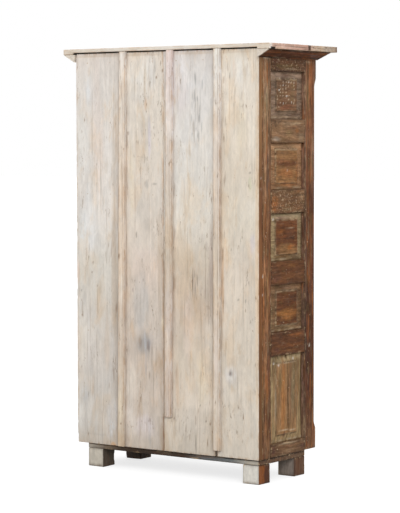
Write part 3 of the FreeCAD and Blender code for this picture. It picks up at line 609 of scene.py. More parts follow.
# Each finish: how it is made, its name, the record's slot that it belongs to, the grain's axis or
# iron's colour, and its settings
FINISHES = {
    "back": (whitewash, "whitewashed_planks", "whitewashed_pine", "z", {}),
    "battens": (whitewash, "whitewashed_battens", "whitewashed_pine", "z", {}),
    "top": (whitewash, "whitewashed_top", "top_pine", "x", {}),
    "cornice_side": (old_paint, "dark_cornice_side", "cornice_wood", "y", {"film": 0.15, "flecks": 0.5}),
    "cornice_front": (old_paint, "dark_cornice_front", "cornice_wood", "x", {"film": 0.15, "flecks": 0.5}),
    "posts": (old_paint, "worn_posts", "post_wood", "z", {"film": 0.30}),
    "side_rails": (old_paint, "worn_side_rails", "rail_wood", "y", {"film": 0.15, "contrast": 0.65, **LEVEL}),
    "front_rails": (old_paint, "worn_front_rails", "rail_wood", "x", {"film": 0.3, "contrast": 0.8, **LEVEL}),
    "speckled_rails": (old_paint, "speckled_rails", "rail_wood", "y",
                       {"film": 0.3, "contrast": 0.8, "speckle": 0.34, **LEVEL}),
    "panels": (old_paint, "worn_panels", "panel_wood", "y",
               {"film": 0.22, "contrast": 0.70, **FIELD_RUB, **LEVEL}),
    "tall_panels": (old_paint, "worn_tall_panels", "panel_wood", "z",
                    {"film": 0.3, "contrast": 0.55, **FIELD_RUB}),
    "base": (old_paint, "worn_base", "base_wood", "x", {"flecks": 0.3, "contrast": 0.35, **BARE}),
    "feet": (old_paint, "worn_feet", "base_wood", "z", {"flecks": 0.2, "contrast": 0.18, **BARE}),
    "inside": (old_paint, "inside_boards", "inside_pine", "x",
               {"base": "bare_pine", "film": 0.0, "flecks": 0.0, "contrast": 0.5}),
    "door_stiles": (old_paint, "worn_door_stiles", "door_wood", "z", {"film": 0.35}),
    "door_rails": (old_paint, "worn_door_rails", "door_wood", "x", {"film": 0.35, "contrast": 0.8, **LEVEL}),
    "iron": (iron, "forged_iron", "wrought_iron", "forged", {}),
    "nails": (whitewash, "nail_iron", "nail_iron", "z", {}),
}
MATERIALS = {key: (make(name, grain, **settings), slot)
             for key, (make, name, slot, grain, settings) in FINISHES.items()}


# The back: planks, battens and nails

PLANK_TONES = {
    1: ((1.95, (222, 212, 202)), (1.83, (223, 216, 208)), (1.2, (220, 213, 205)), (0.98, (211, 205, 195)),
        (0.55, (205, 197, 188)), (0.2, (197, 191, 183)), (0.11, (188, 178, 166))),
    2: ((1.95, (224, 213, 200)), (1.83, (226, 217, 205)), (1.6, (221, 211, 198)), (1.2, (217, 207, 195)),
        (0.98, (211, 198, 184)), (0.55, (202, 189, 176)), (0.34, (206, 193, 180)),
        (0.11, (192, 180, 167))),
    3: ((1.95, (219, 211, 204)), (1.83, (223, 217, 210)), (1.22, (223, 217, 207)), (1.0, (207, 195, 179)),
        (0.77, (203, 188, 172)), (0.55, (211, 198, 181)), (0.34, (217, 205, 190)),
        (0.11, (198, 187, 172))),
    4: ((1.95, (221, 210, 194)), (1.83, (227, 217, 203)), (1.4, (221, 209, 192)), (1.2, (222, 212, 196)),
        (0.98, (217, 205, 190)), (0.55, (213, 202, 187)), (0.34, (213, 203, 189)),
        (0.11, (202, 192, 178))),
}
# Each mark is (x, z, half width, half height, colour, strength). Each plank's first mark, a tan band just
# under the top, is painted shadow of the top's overhang.
PLANK_MARKS = {
    1: ((0.39, 1.944, 0.15, 0.007, "tan", 0.6), (0.45, 1.775, 0.012, 0.06, "cool_white", 0.7),
        (0.45, 1.15, 0.052, 0.15, "cool_white", 0.75), (0.39, 1.6, 0.035, 0.3, "pink", 0.28),
        (0.374, 1.35, 0.003, 0.06, "grey", 0.6), (0.362, 1.26, 0.003, 0.05, "grey", 0.6),
        # the two tan-grey marks on the next line are painted shade beside the first batten
        (0.295, 0.9, 0.018, 0.38, "tan_grey", 0.62), (0.293, 1.5, 0.012, 0.3, "tan_grey", 0.35),
        (0.284, 0.765, 0.006, 0.02, "umber", 0.5), (0.517, 0.93, 0.008, 0.07, "pink", 0.6),
        (0.423, 0.972, 0.005, 0.006, "umber", 0.6), (0.43, 0.928, 0.004, 0.005, "umber", 0.6),
        (0.397, 0.865, 0.004, 0.006, "umber", 0.55), (0.494, 0.838, 0.004, 0.006, "dark", 0.5),
        (0.478, 0.345, 0.025, 0.04, "blue_grey", 0.6), (0.39, 0.155, 0.13, 0.002, "grey", 0.45),
        (0.305, 0.118, 0.015, 0.014, "orange_tan", 0.75), (0.34, 0.6, 0.02, 0.16, "tan", 0.35),
        (0.49, 1.58, 0.03, 0.14, "white", 0.6), (0.32, 0.24, 0.035, 0.09, (207, 207, 208), 0.8),
        (0.48, 0.6, 0.03, 0.12, "cream", 0.35), (0.5, 0.24, 0.02, 0.06, "white", 0.4),
        (0.48, 1.5, 0.04, 0.22, (226, 222, 216), 0.6), (0.49, 1.1, 0.03, 0.16, (220, 219, 216), 0.6)),
    2: ((0.11, 1.944, 0.13, 0.007, "tan", 0.55), (0.056, 1.9, 0.007, 0.05, "grey", 0.5),
        (0.107, 1.715, 0.01, 0.032, "orange_tan", 0.42), (0.086, 1.57, 0.008, 0.1, "lilac", 0.8),
        (0.213, 1.585, 0.007, 0.009, "umber", 0.55), (0.105, 1.345, 0.012, 0.02, "grey", 0.55),
        (0.055, 1.345, 0.018, 0.003, "dark", 0.5), (0.165, 1.11, 0.004, 0.015, "dark", 0.5),
        (0.1, 1.22, 0.08, 0.09, "grey", 0.2), (0.1, 0.95, 0.1, 0.12, "pink", 0.3),
        (0.226, 0.875, 0.006, 0.012, "purple_grey", 0.7), (0.187, 0.852, 0.006, 0.012, "purple_grey", 0.7),
        (0.13, 0.8, 0.045, 0.15, "blue_grey", 0.45), (0.115, 0.6, 0.036, 0.035, "purple_grey", 0.3),
        (0.1, 0.585, 0.012, 0.012, "umber", 0.35), (0.012, 0.7, 0.01, 0.036, "yellow_cream", 0.7),
        (0.09, 0.247, 0.008, 0.01, "umber", 0.75), (0.09, 0.19, 0.006, 0.06, "grey", 0.65),
        (0.19, 1.35, 0.02, 0.2, "yellow_cream", 0.35), (0.2, 0.42, 0.03, 0.1, "cream", 0.4),
        (0.03, 1.05, 0.016, 0.22, "tan", 0.35), (0.2, 0.24, 0.03, 0.09, (218, 208, 197), 0.75),
        (0.14, 1.86, 0.09, 0.07, (236, 231, 223), 0.7), (0.118, 0.606, 0.06, 0.064, (174, 166, 160), 0.6),
        (0.12, 0.604, 0.034, 0.042, (160, 158, 157), 0.65),
        (0.145, 0.614, 0.011, 0.028, (144, 126, 110), 0.45),
        (0.094, 0.59, 0.009, 0.03, (128, 117, 114), 0.55),
        (0.116, 0.616, 0.005, 0.05, (190, 190, 192), 0.6), (0.113, 0.5, 0.006, 0.07, (186, 184, 188), 0.5),
        (0.12, 0.22, 0.06, 0.05, "lilac", 0.45)),
    3: ((-0.17, 1.944, 0.12, 0.007, "tan", 0.5), (-0.1, 1.78, 0.05, 0.14, "lilac", 0.4),
        (-0.176, 1.72, 0.003, 0.12, "grey", 0.6), (-0.188, 1.68, 0.003, 0.11, "grey", 0.6),
        (-0.202, 1.71, 0.004, 0.1, "grey", 0.5), (-0.165, 1.6, 0.006, 0.05, "tan_grey", 0.4),
        (-0.158, 0.9, 0.0025, 0.055, "dark", 0.75), (-0.172, 0.875, 0.0025, 0.045, "dark", 0.65),
        # the purple-grey mark at x -0.262 on the next line is painted shade beside the third batten
        (-0.05, 0.89, 0.009, 0.046, "umber", 0.5), (-0.262, 0.95, 0.014, 0.2, "purple_grey", 0.5),
        (-0.05, 0.265, 0.004, 0.006, "dark", 0.6), (-0.2, 0.34, 0.004, 0.005, "dark", 0.6),
        (-0.232, 0.265, 0.004, 0.005, "dark", 0.6), (-0.175, 0.165, 0.004, 0.045, "dark", 0.5),
        (-0.07, 0.42, 0.01, 0.12, "orange_tan", 0.3), (-0.13, 0.7, 0.03, 0.16, "pink", 0.3),
        (-0.21, 0.45, 0.03, 0.12, "yellow_cream", 0.35), (-0.25, 0.64, 0.026, 0.11, (226, 216, 203), 0.7),
        (-0.15, 1.85, 0.09, 0.07, (226, 222, 218), 0.6)),
    4: ((-0.41, 1.944, 0.12, 0.007, "tan", 0.45), (-0.39, 1.855, 0.012, 0.046, "orange_tan", 0.55),
        (-0.365, 1.84, 0.003, 0.016, "dark", 0.55), (-0.475, 1.402, 0.004, 0.005, "dark", 0.65),
        (-0.477, 1.355, 0.01, 0.036, "green_cream", 0.8), (-0.49, 1.08, 0.014, 0.05, "lilac", 0.6),
        (-0.412, 0.83, 0.004, 0.005, "dark", 0.6), (-0.452, 0.828, 0.004, 0.005, "dark", 0.6),
        (-0.372, 0.488, 0.04, 0.056, (172, 162, 156), 0.45),
        (-0.37, 0.492, 0.028, 0.042, (226, 222, 216), 0.75),
        (-0.369, 0.496, 0.015, 0.02, (178, 168, 162), 0.6),
        (-0.368, 0.497, 0.008, 0.01, (112, 100, 94), 0.75), (-0.512, 1.1, 0.01, 0.8, "orange_cream", 0.65),
        (-0.326, 0.9, 0.007, 0.14, "orange_tan", 0.55), (-0.43, 1.6, 0.03, 0.15, "yellow_cream", 0.35),
        (-0.36, 1.1, 0.03, 0.2, "warm_cream", 0.4), (-0.42, 1.86, 0.09, 0.07, (232, 226, 216), 0.6)),
}
# Short dark strokes along the grain: their two corners of x and z, how many, their colour and a seed
STROKE_PATCHES = {
    1: (((0.34, 1.20), (0.43, 1.66), 12, "grey", 11), ((0.285, 0.3), (0.35, 1.1), 14, "umber", 12),
        ((0.44, 0.75), (0.52, 1.05), 6, "umber", 13)),
    2: (((0.06, 1.25), (0.14, 1.75), 12, "purple_grey", 21), ((0.215, 0.8), (0.235, 1.75), 10, "umber", 22),
        ((0.02, 0.15), (0.20, 0.50), 22, "tan_grey", 23), ((0.02, 0.15), (0.12, 0.9), 9, "umber", 24)),
    3: (((-0.215, 1.56), (-0.150, 1.84), 22, (128, 124, 122), 31),
        ((-0.060, 0.85), (-0.044, 1.7), 18, "umber", 32), ((-0.19, 0.84), (-0.14, 1.02), 9, "dark", 33),
        ((-0.28, 0.4), (-0.20, 1.1), 14, "purple_grey", 34), ((-0.26, 0.15), (-0.05, 0.5), 14, "umber", 35)),
    4: (((-0.345, 0.6), (-0.325, 1.85), 16, "umber", 41), ((-0.50, 0.3), (-0.35, 1.3), 14, "tan", 42),
        ((-0.46, 1.70), (-0.35, 1.90), 7, "umber", 43)),
}


def strokes(patches):
    """Marks of short strokes, scattered over their patches."""
    marks = []
    for low, high, count, colour, seed in patches:
        chance = np.random.default_rng(seed)
        spots = chance.uniform(low, high, (count, 2))
        sizes = chance.uniform((0.0016, 0.010, 0.18), (0.0032, 0.045, 0.52), (count, 3))
        marks += [(x, z, wide, tall, colour, strength)
                  for (x, z), (wide, tall, strength) in zip(spots, sizes)]
    return tuple(marks)


def batten_x(number, z):
    """The middle of a batten at a height."""
    low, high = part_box(f"back_batten_{number}")
    foot_x, top_x = BATTEN_LEANS[number]
    return foot_x + (top_x - foot_x) * (z - low[2]) / (high[2] - low[2])


# How deep the shade beside each batten is, at the top and low down
SHADE_DEPTH = {1: (0.44, 0.74), 2: (0.22, 0.62), 3: (0.32, 0.46)}
# How far the painted shade reaches, and how wide the dark seam, partly painted shade, and the line on the
# batten's other side are
SHADE_REACH, SEAM_WIDTH, LINE_WIDTH = 0.030, 0.0045, 0.0034


def plank_colours(number):
    """A plank's tones and marks, painted shade and a dark seam beside the battens, and the colours of its
    hidden faces.
    """
    marks = PLANK_MARKS[number] + strokes(STROKE_PATCHES[number])

    def colours(points):
        x, y, z = points.T
        shades = stains(paint(points, 2, PLANK_TONES[number]), points, XZ, marks, seed=number * 40)
        uneven = 0.75 + 0.25 * noise(points, (0.05, 0.05, 0.12), number)
        broken = rise(noise(points, (0.02, 0.02, 0.035), number + 3), -0.2, 0.5)
        low_down = rise(z, 1.5, 0.5)
        for batten, (top_depth, low_depth) in SHADE_DEPTH.items():
            gap = x - batten_x(batten, z)
            foot = float(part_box(f"back_batten_{batten}")[0][2])
            beside = rise(z, foot - 0.002, foot + 0.002)
            # below its foot the painted shade and the dark seam follow the planks' own seam
            past = beside * (gap - BATTEN_HALF) + (1 - beside) * (x - PLANK_SEAMS[batten])
            depth = top_depth + (low_depth - top_depth) * low_down
            # painted shade: the batten's shadow on the plank on its +X side, deeper low down
            soft = bell(np.clip(past, 0, 1), SHADE_REACH) * (past > -0.004) * depth * uneven
            # a dark line at the batten's +X edge, partly painted shade, and below its foot the planks' own
            # dark seam
            seam = bell(past - 0.0015, SEAM_WIDTH) * (0.70 + 0.28 * low_down) * uneven
            line = bell(gap + BATTEN_HALF + 0.002, LINE_WIDTH) * 0.24 * broken * beside
            shades = over(over(shades, soft, "painted_shade"), seam + line, "umber")
        # bare wood inside, and the brown of the side on the plank edges that belong to it
        shades = over(shades, rise(y, BACK_Y - 0.014, BACK_Y - 0.024), "bare_pine")
        side = rise(np.abs(x) - abs(SIDE_X), -0.0030, -0.0006) * rise(y, BACK_Y - 0.0005, BACK_Y - 0.004)
        return blend(shades, side, stile_colours(points))
    return colours


STILE_TONES = (
    (1.9, (144, 119, 97)), (1.75, (155, 130, 106)), (1.6, (152, 123, 97)), (1.45, (144, 114, 88)),
    (1.25, (132, 97, 70)), (1.05, (138, 101, 73)), (0.87, (130, 92, 64)), (0.7, (127, 91, 64)),
    (0.5, (113, 82, 57)), (0.2, (113, 84, 61))
)
# How the stile's colour changes across it: pairs of y and the shares of red, green and blue there
STILE_ACROSS = (
    (0.266, (1.0, 0.92, 0.82)), (0.256, (0.92, 0.78, 0.58)), (0.247, (0.95, 0.76, 0.54)),
    (0.238, (1.16, 1.14, 1.08)), (0.217, (1.26, 1.32, 1.4)), (0.2, (1.0, 1.05, 1.1)),
    (0.185, (0.84, 0.84, 0.84)), (0.172, (0.8, 0.78, 0.76))
)
# Each mark is (y, z, half width, half height, colour, strength).
STILE_MARKS = (
    (0.252, 1.8, 0.007, 0.1, "orange_brown", 0.8), (0.235, 1.73, 0.012, 0.05, "olive", 0.7),
    (0.196, 1.84, 0.006, 0.06, "orange_brown", 0.75), (0.205, 1.73, 0.01, 0.05, "olive_grey", 0.6),
    (0.21, 1.918, 0.03, 0.008, "worn_cream_and_highlight", 0.6), (0.248, 1.38, 0.004, 0.008, "white", 0.8),
    (0.247, 1.33, 0.004, 0.007, "white", 0.75), (0.236, 0.94, 0.004, 0.008, "white", 0.8),
    (0.236, 0.855, 0.004, 0.007, "white", 0.75), (0.247, 1.25, 0.008, 0.2, "red_brown", 0.6),
    (0.235, 1.5, 0.01, 0.14, "red_brown", 0.55), (0.215, 1.15, 0.01, 0.12, "orange_brown", 0.5),
    (0.23, 0.72, 0.009, 0.14, "orange_brown", 0.6), (0.2, 0.86, 0.012, 0.1, "olive", 0.5),
    (0.195, 1.42, 0.012, 0.1, "lilac_grey", 0.5), (0.192, 0.55, 0.01, 0.12, "plum", 0.5),
    (0.235, 0.4, 0.01, 0.14, "olive", 0.5), (0.205, 0.28, 0.012, 0.08, "orange_brown", 0.45),
    (0.176, 1.1, 0.005, 0.45, "red_brown", 0.6), (0.2, 0.5, 0.004, 0.01, "worn_cream_and_highlight", 0.5)
)


def stile_colours(points):
    """The rear stile, whose colours also cover the plank edge beside it."""
    shades = across_shares(paint(points, 2, STILE_TONES), points, STILE_ACROSS, seed=310)
    return stains(shades, points, YZ, STILE_MARKS, seed=300)


# Where the drying cracks are across each plank, and the two heights that they run between
PLANK_CRACKS = {1: (0.372,), 2: (0.090, 0.152), 3: (-0.158, -0.172, -0.230), 4: (-0.365, -0.440)}
CRACK_SPANS = {1: (0.11, 0.30), 2: (0.11, 0.42), 3: (0.80, 1.00), 4: (1.60, 1.949)}
CRACK_FADE, CRACK_DEPTH, CRACK_WIDTH = 0.05, 0.0035, 0.0009
CRACK_LINES = (-0.0018, -0.0006, 0.0006, 0.0018)
PLANK_WANDER, CORNER_LOSS = 0.0028, 0.006


def make_plank(number):
    """One plank of the back, its face a little uneven, with a few drying cracks."""
    low, high = map(np.array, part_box(f"back_plank_{number}"))
    near = [place + away for place in PLANK_CRACKS[number] for away in CRACK_LINES]
    form = board(low, high, (0.0055, 0.012, 0.008), wear=0.0022, seed=number * 11, wave=0.0010,
                 extra=(near, (), ()))
    points = form.points
    x, y, z = points.T
    back = y > high[1] - 0.003
    first, last = CRACK_SPANS[number]
    ends = rise(z, first, first + CRACK_FADE) * rise(z, last, last - CRACK_FADE)
    for place in PLANK_CRACKS[number]:
        y -= CRACK_DEPTH * bell(x - place, CRACK_WIDTH) * ends * back
    # the whole grid wanders a little, so that the cracks aren't ruled lines
    room = rise(np.minimum(x - low[0], high[0] - x), 0.0, 0.03)
    x += PLANK_WANDER * room * noise(points * (0, 0, 1), 0.11, number)
    if number == 1:
        # its outer edge is worn back at the foot
        corner = rise(z, 0.20, 0.11) * rise(x, high[0] - 0.03, high[0])
        x -= CORNER_LOSS * corner * (0.6 + 0.4 * noise(points, 0.03, 5))
    if number == 3:
        # a wedge has split off the foot of its edge
        gap = SPLIT_WIDTH * np.clip((low[2] + SPLIT_HEIGHT - z) / SPLIT_HEIGHT, 0, 1)
        x += gap * rise(np.clip((high[0] - x) / (high[0] - low[0]), 0, 1), 0.75, 1.0)
    piece(f"plank_{number}", [form], plank_colours(number), "back", [f"back_plank_{number}"],
          shift=number * 3.7)


BATTEN_TONES = {
    1: ((1.95, (231, 220, 208)), (1.7, (227, 213, 197)), (1.3, (221, 201, 180)), (0.9, (216, 197, 177)),
        (0.6, (210, 192, 173)), (0.3, (204, 187, 166)), (0.11, (196, 178, 156))),
    2: ((1.95, (230, 213, 206)), (1.6, (229, 216, 204)), (1.25, (213, 198, 181)), (1.0, (202, 187, 169)),
        (0.77, (210, 194, 180)), (0.5, (212, 197, 184)), (0.25, (202, 185, 170))),
    3: ((1.95, (232, 224, 212)), (1.6, (222, 207, 192)), (1.2, (214, 197, 179)), (0.98, (206, 188, 167)),
        (0.7, (212, 198, 181)), (0.15, (204, 189, 172))),
}
# How much lighter a batten is than its tones, and how much painted light its -X flank gets
BATTEN_LIFT = (1.02, 1.05, 1.08)
FLANK_LIFT = (0.02, 0.08, 0.16)
BATTEN_MARKS = {
    1: ((0.262, 1.008, 0.011, 0.012, "umber", 0.8), (0.24, 1.78, 0.003, 0.05, "umber", 0.5),
        (0.243, 0.88, 0.004, 0.1, "cream", 0.6), (0.255, 0.3, 0.015, 0.1, "yellow_cream", 0.3),
        (0.25, 0.22, 0.004, 0.006, "umber", 0.7), (0.244, 1.84, 0.004, 0.005, "dark", 0.5)),
    2: ((-0.03, 1.45, 0.004, 0.2, "tan_grey", 0.4), (-0.026, 0.6, 0.01, 0.08, "cream", 0.4)),
    3: ((-0.313, 1.2, 0.004, 0.6, "white", 0.5), (-0.3, 0.6, 0.012, 0.2, "pink", 0.35)),
}
# Where the scribed line runs from the batten's middle, and how deep and wide it is
SCRIBE_X, SCRIBE_DEPTH, SCRIBE_WIDTH = -0.0062, 0.0014, 0.0009
BATTEN_WANDER = 0.0006


def batten_colours(number):
    """A batten's tones and marks, its scribed line, dark lines along both its arrises, partly painted shade
    on the +X side, and painted light on its -X flank.
    """
    def colours(points):
        shades = paint(points, 2, BATTEN_TONES[number]) * np.array(BATTEN_LIFT)
        shades = stains(shades, points, XZ, BATTEN_MARKS[number], seed=number * 60)
        away = points[:, 0] - batten_x(number, points[:, 2])
        uneven = rise(noise(points, (0.05, 0.05, 0.07), number + 8), -0.5, 0.5)
        shades = over(shades, bell(away - SCRIBE_X, 0.0018) * 0.45 * (0.35 + 0.65 * uneven), "umber")
        # dark lines along both front arrises; the one on the shaded +X side is partly painted shade
        arris = bell(away + BATTEN_HALF - 0.0018, 0.0024) * 0.50
        arris += bell(away - BATTEN_HALF + 0.0006, 0.0016) * 0.45
        shades = over(shades, arris * (0.5 + 0.5 * uneven), "arris_brown")
        # painted light: the -X flank is made lighter
        flank = rise(-away, BATTEN_HALF - 0.0012, BATTEN_HALF - 0.0002)[:, None]
        return shades * (1 + flank * np.array(FLANK_LIFT))
    return colours


def make_batten(number):
    """A thin strip beside a seam, out of plumb, with a line scribed along it."""
    low, high = map(np.array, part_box(f"back_batten_{number}"))
    low[0], high[0] = -BATTEN_HALF, BATTEN_HALF
    near = [SCRIBE_X - 0.0012, SCRIBE_X, SCRIBE_X + 0.0012]
    form = board(low, high, (0.0045, 0.004, 0.008), wear=0.0017, seed=number * 13, wave=0.0004,
                 extra=(near, (), ()))
    x, y, z = form.points.T
    y -= SCRIBE_DEPTH * bell(x - SCRIBE_X, SCRIBE_WIDTH) * (y > high[1] - 0.003)
    x += batten_x(number, z) + BATTEN_WANDER * noise(form.points * (0, 0, 1), 0.15, number)
    piece(f"batten_{number}", [form], batten_colours(number), "battens", [f"back_batten_{number}"],
          shift=number * 5.9)


NAIL_ROWS = (1.913, 1.2974, 0.6503, 0.211)
NAIL_SHARES = (0.25, 0.75)
# Pairs of radius and height
NAIL_HEAD = ((0.0034, 0.0), (0.0033, 0.0005), (0.0024, 0.0009), (0.0009, 0.00099))


def make_nails():
    """Cut nails through the planks, their heads slightly domed and half painted over."""
    forms = []
    for high, low in zip(PLANK_SEAMS, PLANK_SEAMS[1:]):
        for share, z in product(NAIL_SHARES, NAIL_ROWS):
            nail = turned_rod(NAIL_HEAD, 10, rough=0.15, seed=len(forms))
            forms.append(nail.turned(TO_BACK, (low + share * (high - low), BACK_Y - 0.0009, z)))
    piece("nails", forms, "nail_cream", "nails", ["back_nails"])


# The top and the cornice

# Tones are along x on the boards' faces, and along y on their end grain.
TOP_TONES = ((-0.58, (219, 207, 191)), (0.0, (221, 212, 200)), (0.58, (217, 206, 191)))
# Each mark is (x, y, half width, half depth, colour, strength).
TOP_MARKS = ((-0.45, 0.20, 0.06, 0.03, "pink", 0.4), (0.25, 0.10, 0.12, 0.04, "tan", 0.3),
             (0.05, -0.15, 0.10, 0.03, "yellow_cream", 0.5), (-0.20, 0.22, 0.05, 0.02, "grey", 0.3),
             (0.44, -0.20, 0.06, 0.03, "tan_grey", 0.4), (0.40, 0.24, 0.10, 0.02, "cool_white", 0.5))
END_TONES = ((-0.2825, (112, 84, 64)), (-0.274, (128, 98, 76)), (-0.262, (178, 158, 138)),
             (-0.15, (210, 193, 173)), (-0.06, (204, 178, 160)), (-0.0505, (70, 44, 34)),
             (-0.0400, (58, 34, 26)), (-0.033, (198, 159, 141)), (0.06, (210, 170, 152)),
             (0.17, (222, 186, 170)), (0.255, (216, 182, 164)), (0.266, (240, 231, 222)))
# Each mark is (y, z, half width, half height, colour, strength).
END_MARKS = ((0.03, 1.9665, 0.065, 0.0016, "deep_brown", 0.9), (-0.02, 1.9605, 0.030, 0.0015, "dark", 0.75),
             (0.12, 1.971, 0.050, 0.0014, "umber", 0.7), (0.14, 1.9775, 0.11, 0.0016, "umber", 0.5),
             (-0.185, 1.9730, 0.012, 0.0026, "deep_brown", 0.8),
             (-0.222, 1.9735, 0.008, 0.0026, "deep_brown", 0.7),
             (-0.075, 1.9700, 0.006, 0.0030, "deep_brown", 0.8), (-0.16, 1.9640, 0.070, 0.0013, "umber", 0.6),
             (-0.12, 1.9775, 0.060, 0.0016, "umber", 0.5), (0.20, 1.9600, 0.050, 0.0020, "worn_cream_and_highlight", 0.5),
             (0.235, 1.9680, 0.018, 0.0040, "plum", 0.35))
END_SPLIT_Z, END_SPLIT_DEPTH = 1.9665, 0.004


def top_colours(points):
    """Whitewashed above and behind. The end grain at the sides is pinkish tan, with dark cracks."""
    x, y, z = points.T
    shades = stains(paint(points, 0, TOP_TONES), points, (0, 1), TOP_MARKS, seed=500)
    grain = stains(paint(points, 1, END_TONES), points, YZ, END_MARKS, seed=520)
    shades = blend(shades, rise(np.abs(x), TOP_END - 0.0035, TOP_END - 0.0008), grain)
    shades = over(shades, rise(z, UNDER_TOP + 0.004, UNDER_TOP + 0.0005), "tan")
    # the rebate that the planks stand in is painted black, as painted shade
    slot = rise(y, BACK_Y + 0.006, BACK_Y + 0.001) * rise(y, BACK_Y - 0.034, BACK_Y - 0.030)
    return over(shades, slot * rise(z, UNDER_TOP + 0.0105, UNDER_TOP + 0.0095), "black")


def stopped_rebate(form, low, high):
    """Presses the rear underside up, between the ends, so that the planks can stand in it."""
    x, y, z = form.points.T
    inside = (x > SIDE_X - 0.0005) & (x < -SIDE_X + REBATE_PAST) & (y > BACK_Y - PLANK_THICK + 0.0004)
    z += np.where(inside, REBATE_HEIGHT * (high[2] - z) / (high[2] - low[2]), 0.0)


def make_top():
    """The two boards of the top, split at their ends, the rear one with a rebate for the planks."""
    wall = BACK_Y - PLANK_THICK
    rebate_x = (SIDE_X - 0.001, SIDE_X, -SIDE_X + REBATE_PAST - 0.001, -SIDE_X + REBATE_PAST)
    extras = {"rear": (rebate_x, (wall, wall + 0.001), ()), "front": ((), (), ())}
    for name, seed in (("rear", 31), ("front", 37)):
        low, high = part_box(f"top_board_{name}")
        form = board(low, high, (0.012, 0.009, 0.0028), wear=0.0028, seed=seed, wave=0.0010,
                     extra=extras[name])
        if name == "rear":
            stopped_rebate(form, low, high)
        x, _, z = form.points.T
        split = bell(z - END_SPLIT_Z - 0.0015 * noise(form.points, 0.05, seed), 0.0012)
        gate = rise(noise(form.points, 0.06, seed + 4), -0.1, 0.4) * (np.abs(x) > TOP_END - 0.009)
        x -= np.sign(x) * END_SPLIT_DEPTH * split * gate
        piece(f"top_{name}", [form], top_colours, "top", [f"top_board_{name}"], shift=seed)


CORNICE_HEIGHT, CORNICE_FOOT, CORNICE_LIP, CORNICE_STEP = 0.035, 0.003, 0.003, 0.001
CORNICE_PAST, BEADS, BEAD_DEPTH = 0.012, 3, 0.0012
SIDE_REACH, FRONT_REACH = 0.061, 0.031


def moulding(reach, start, end, seed):
    """A length of splayed cornice along X, which stands out along -Y. Its ends may depend on reach."""
    small = 0.0008
    under, lip_z = UNDER_TOP - CORNICE_HEIGHT, UNDER_TOP - CORNICE_LIP
    profile = [(0.0, under)]
    profile += [(CORNICE_FOOT + (reach - CORNICE_STEP - CORNICE_FOOT) * t, under + (lip_z - under) * t)
                for t in np.linspace(0, 1, 16)]
    profile += [(reach - small, lip_z), (reach, lip_z + small), (reach, UNDER_TOP - small),
                (reach - small, UNDER_TOP), (0.0, UNDER_TOP)]
    sections = max(2, round(abs(end(0) - start(0)) / 0.012))
    points = np.array([(start(out) + (end(out) - start(out)) * section / sections, -out, z)
                       for section in range(sections + 1) for out, z in profile])
    faces = ring_faces(sections + 1, len(profile)) + caps(len(points), len(profile))
    # shallow beads run along the splay, and it is a little uneven
    _, y, z = points.T
    beads = BEAD_DEPTH * np.sin((z - under) / (lip_z - under) * BEADS * math.pi) ** 2
    y += (y < -CORNICE_FOOT) * (beads + 0.0006 * (0.5 + 0.5 * noise(points, (0.06, 0.01, 0.01), seed)))
    return Form(points, faces, 0.3 * bell(z - lip_z, 0.003))


# Pairs of height, from the underside of the top, and colour. The bands are partly the wax's own colour and
# partly painted shade on the splay.
CORNICE_TONES = ((-0.035, (34, 22, 16)), (-0.030, (58, 36, 24)), (-0.024, (96, 58, 34)),
                 (-0.018, (78, 46, 28)), (-0.012, (118, 72, 40)), (-0.007, (84, 50, 30)),
                 (-0.001, (58, 38, 26)))


def cornice_colours(points):
    """Dark wax that changes up the splay, partly as painted shade, with whitewashed rear ends."""
    x, y, _ = points.T
    shades = paint(points - (0, 0, UNDER_TOP), 2, CORNICE_TONES)
    end = rise(y, BACK_Y + CORNICE_PAST - 0.002, BACK_Y + CORNICE_PAST - 0.0002)
    inner = rise(y, BACK_Y - 0.001, BACK_Y + 0.001) * (np.abs(x) < abs(SIDE_X) + 0.001)
    return over(shades, np.maximum(end, inner), "cream")


def side_end(out):
    """Where the side run's mitre is, at a distance from the wall."""
    return -(FRONT_Y - out * FRONT_REACH / SIDE_REACH)


def front_end(out):
    """Where the front run's mitre is, at a distance from the wall."""
    return -SIDE_X + out * SIDE_REACH / FRONT_REACH


def make_cornice():
    """Three mitred runs under the top: left, right and front."""
    run = moulding(SIDE_REACH, lambda out: -BACK_Y - CORNICE_PAST, side_end, seed=41)
    # the run is along X: X goes to -Y, and out of the wall is -X
    left = run.turned(((0, 1, 0), (-1, 0, 0), (0, 0, 1)), (SIDE_X, 0, 0))
    front = moulding(FRONT_REACH, lambda out: -front_end(out), front_end, seed=47)
    front = front.turned(SAME, (0, FRONT_Y, 0))
    for name, form, finish, shift in (("left", left, "cornice_side", 1.3),
                                      ("right", left.turned(MIRROR), "cornice_side", 4.1),
                                      ("front", front, "cornice_front", 7.7)):
        piece(f"cornice_{name}_run", [form], cornice_colours, finish, [f"cornice_{name}"], shift=shift)


# Posts and stiles

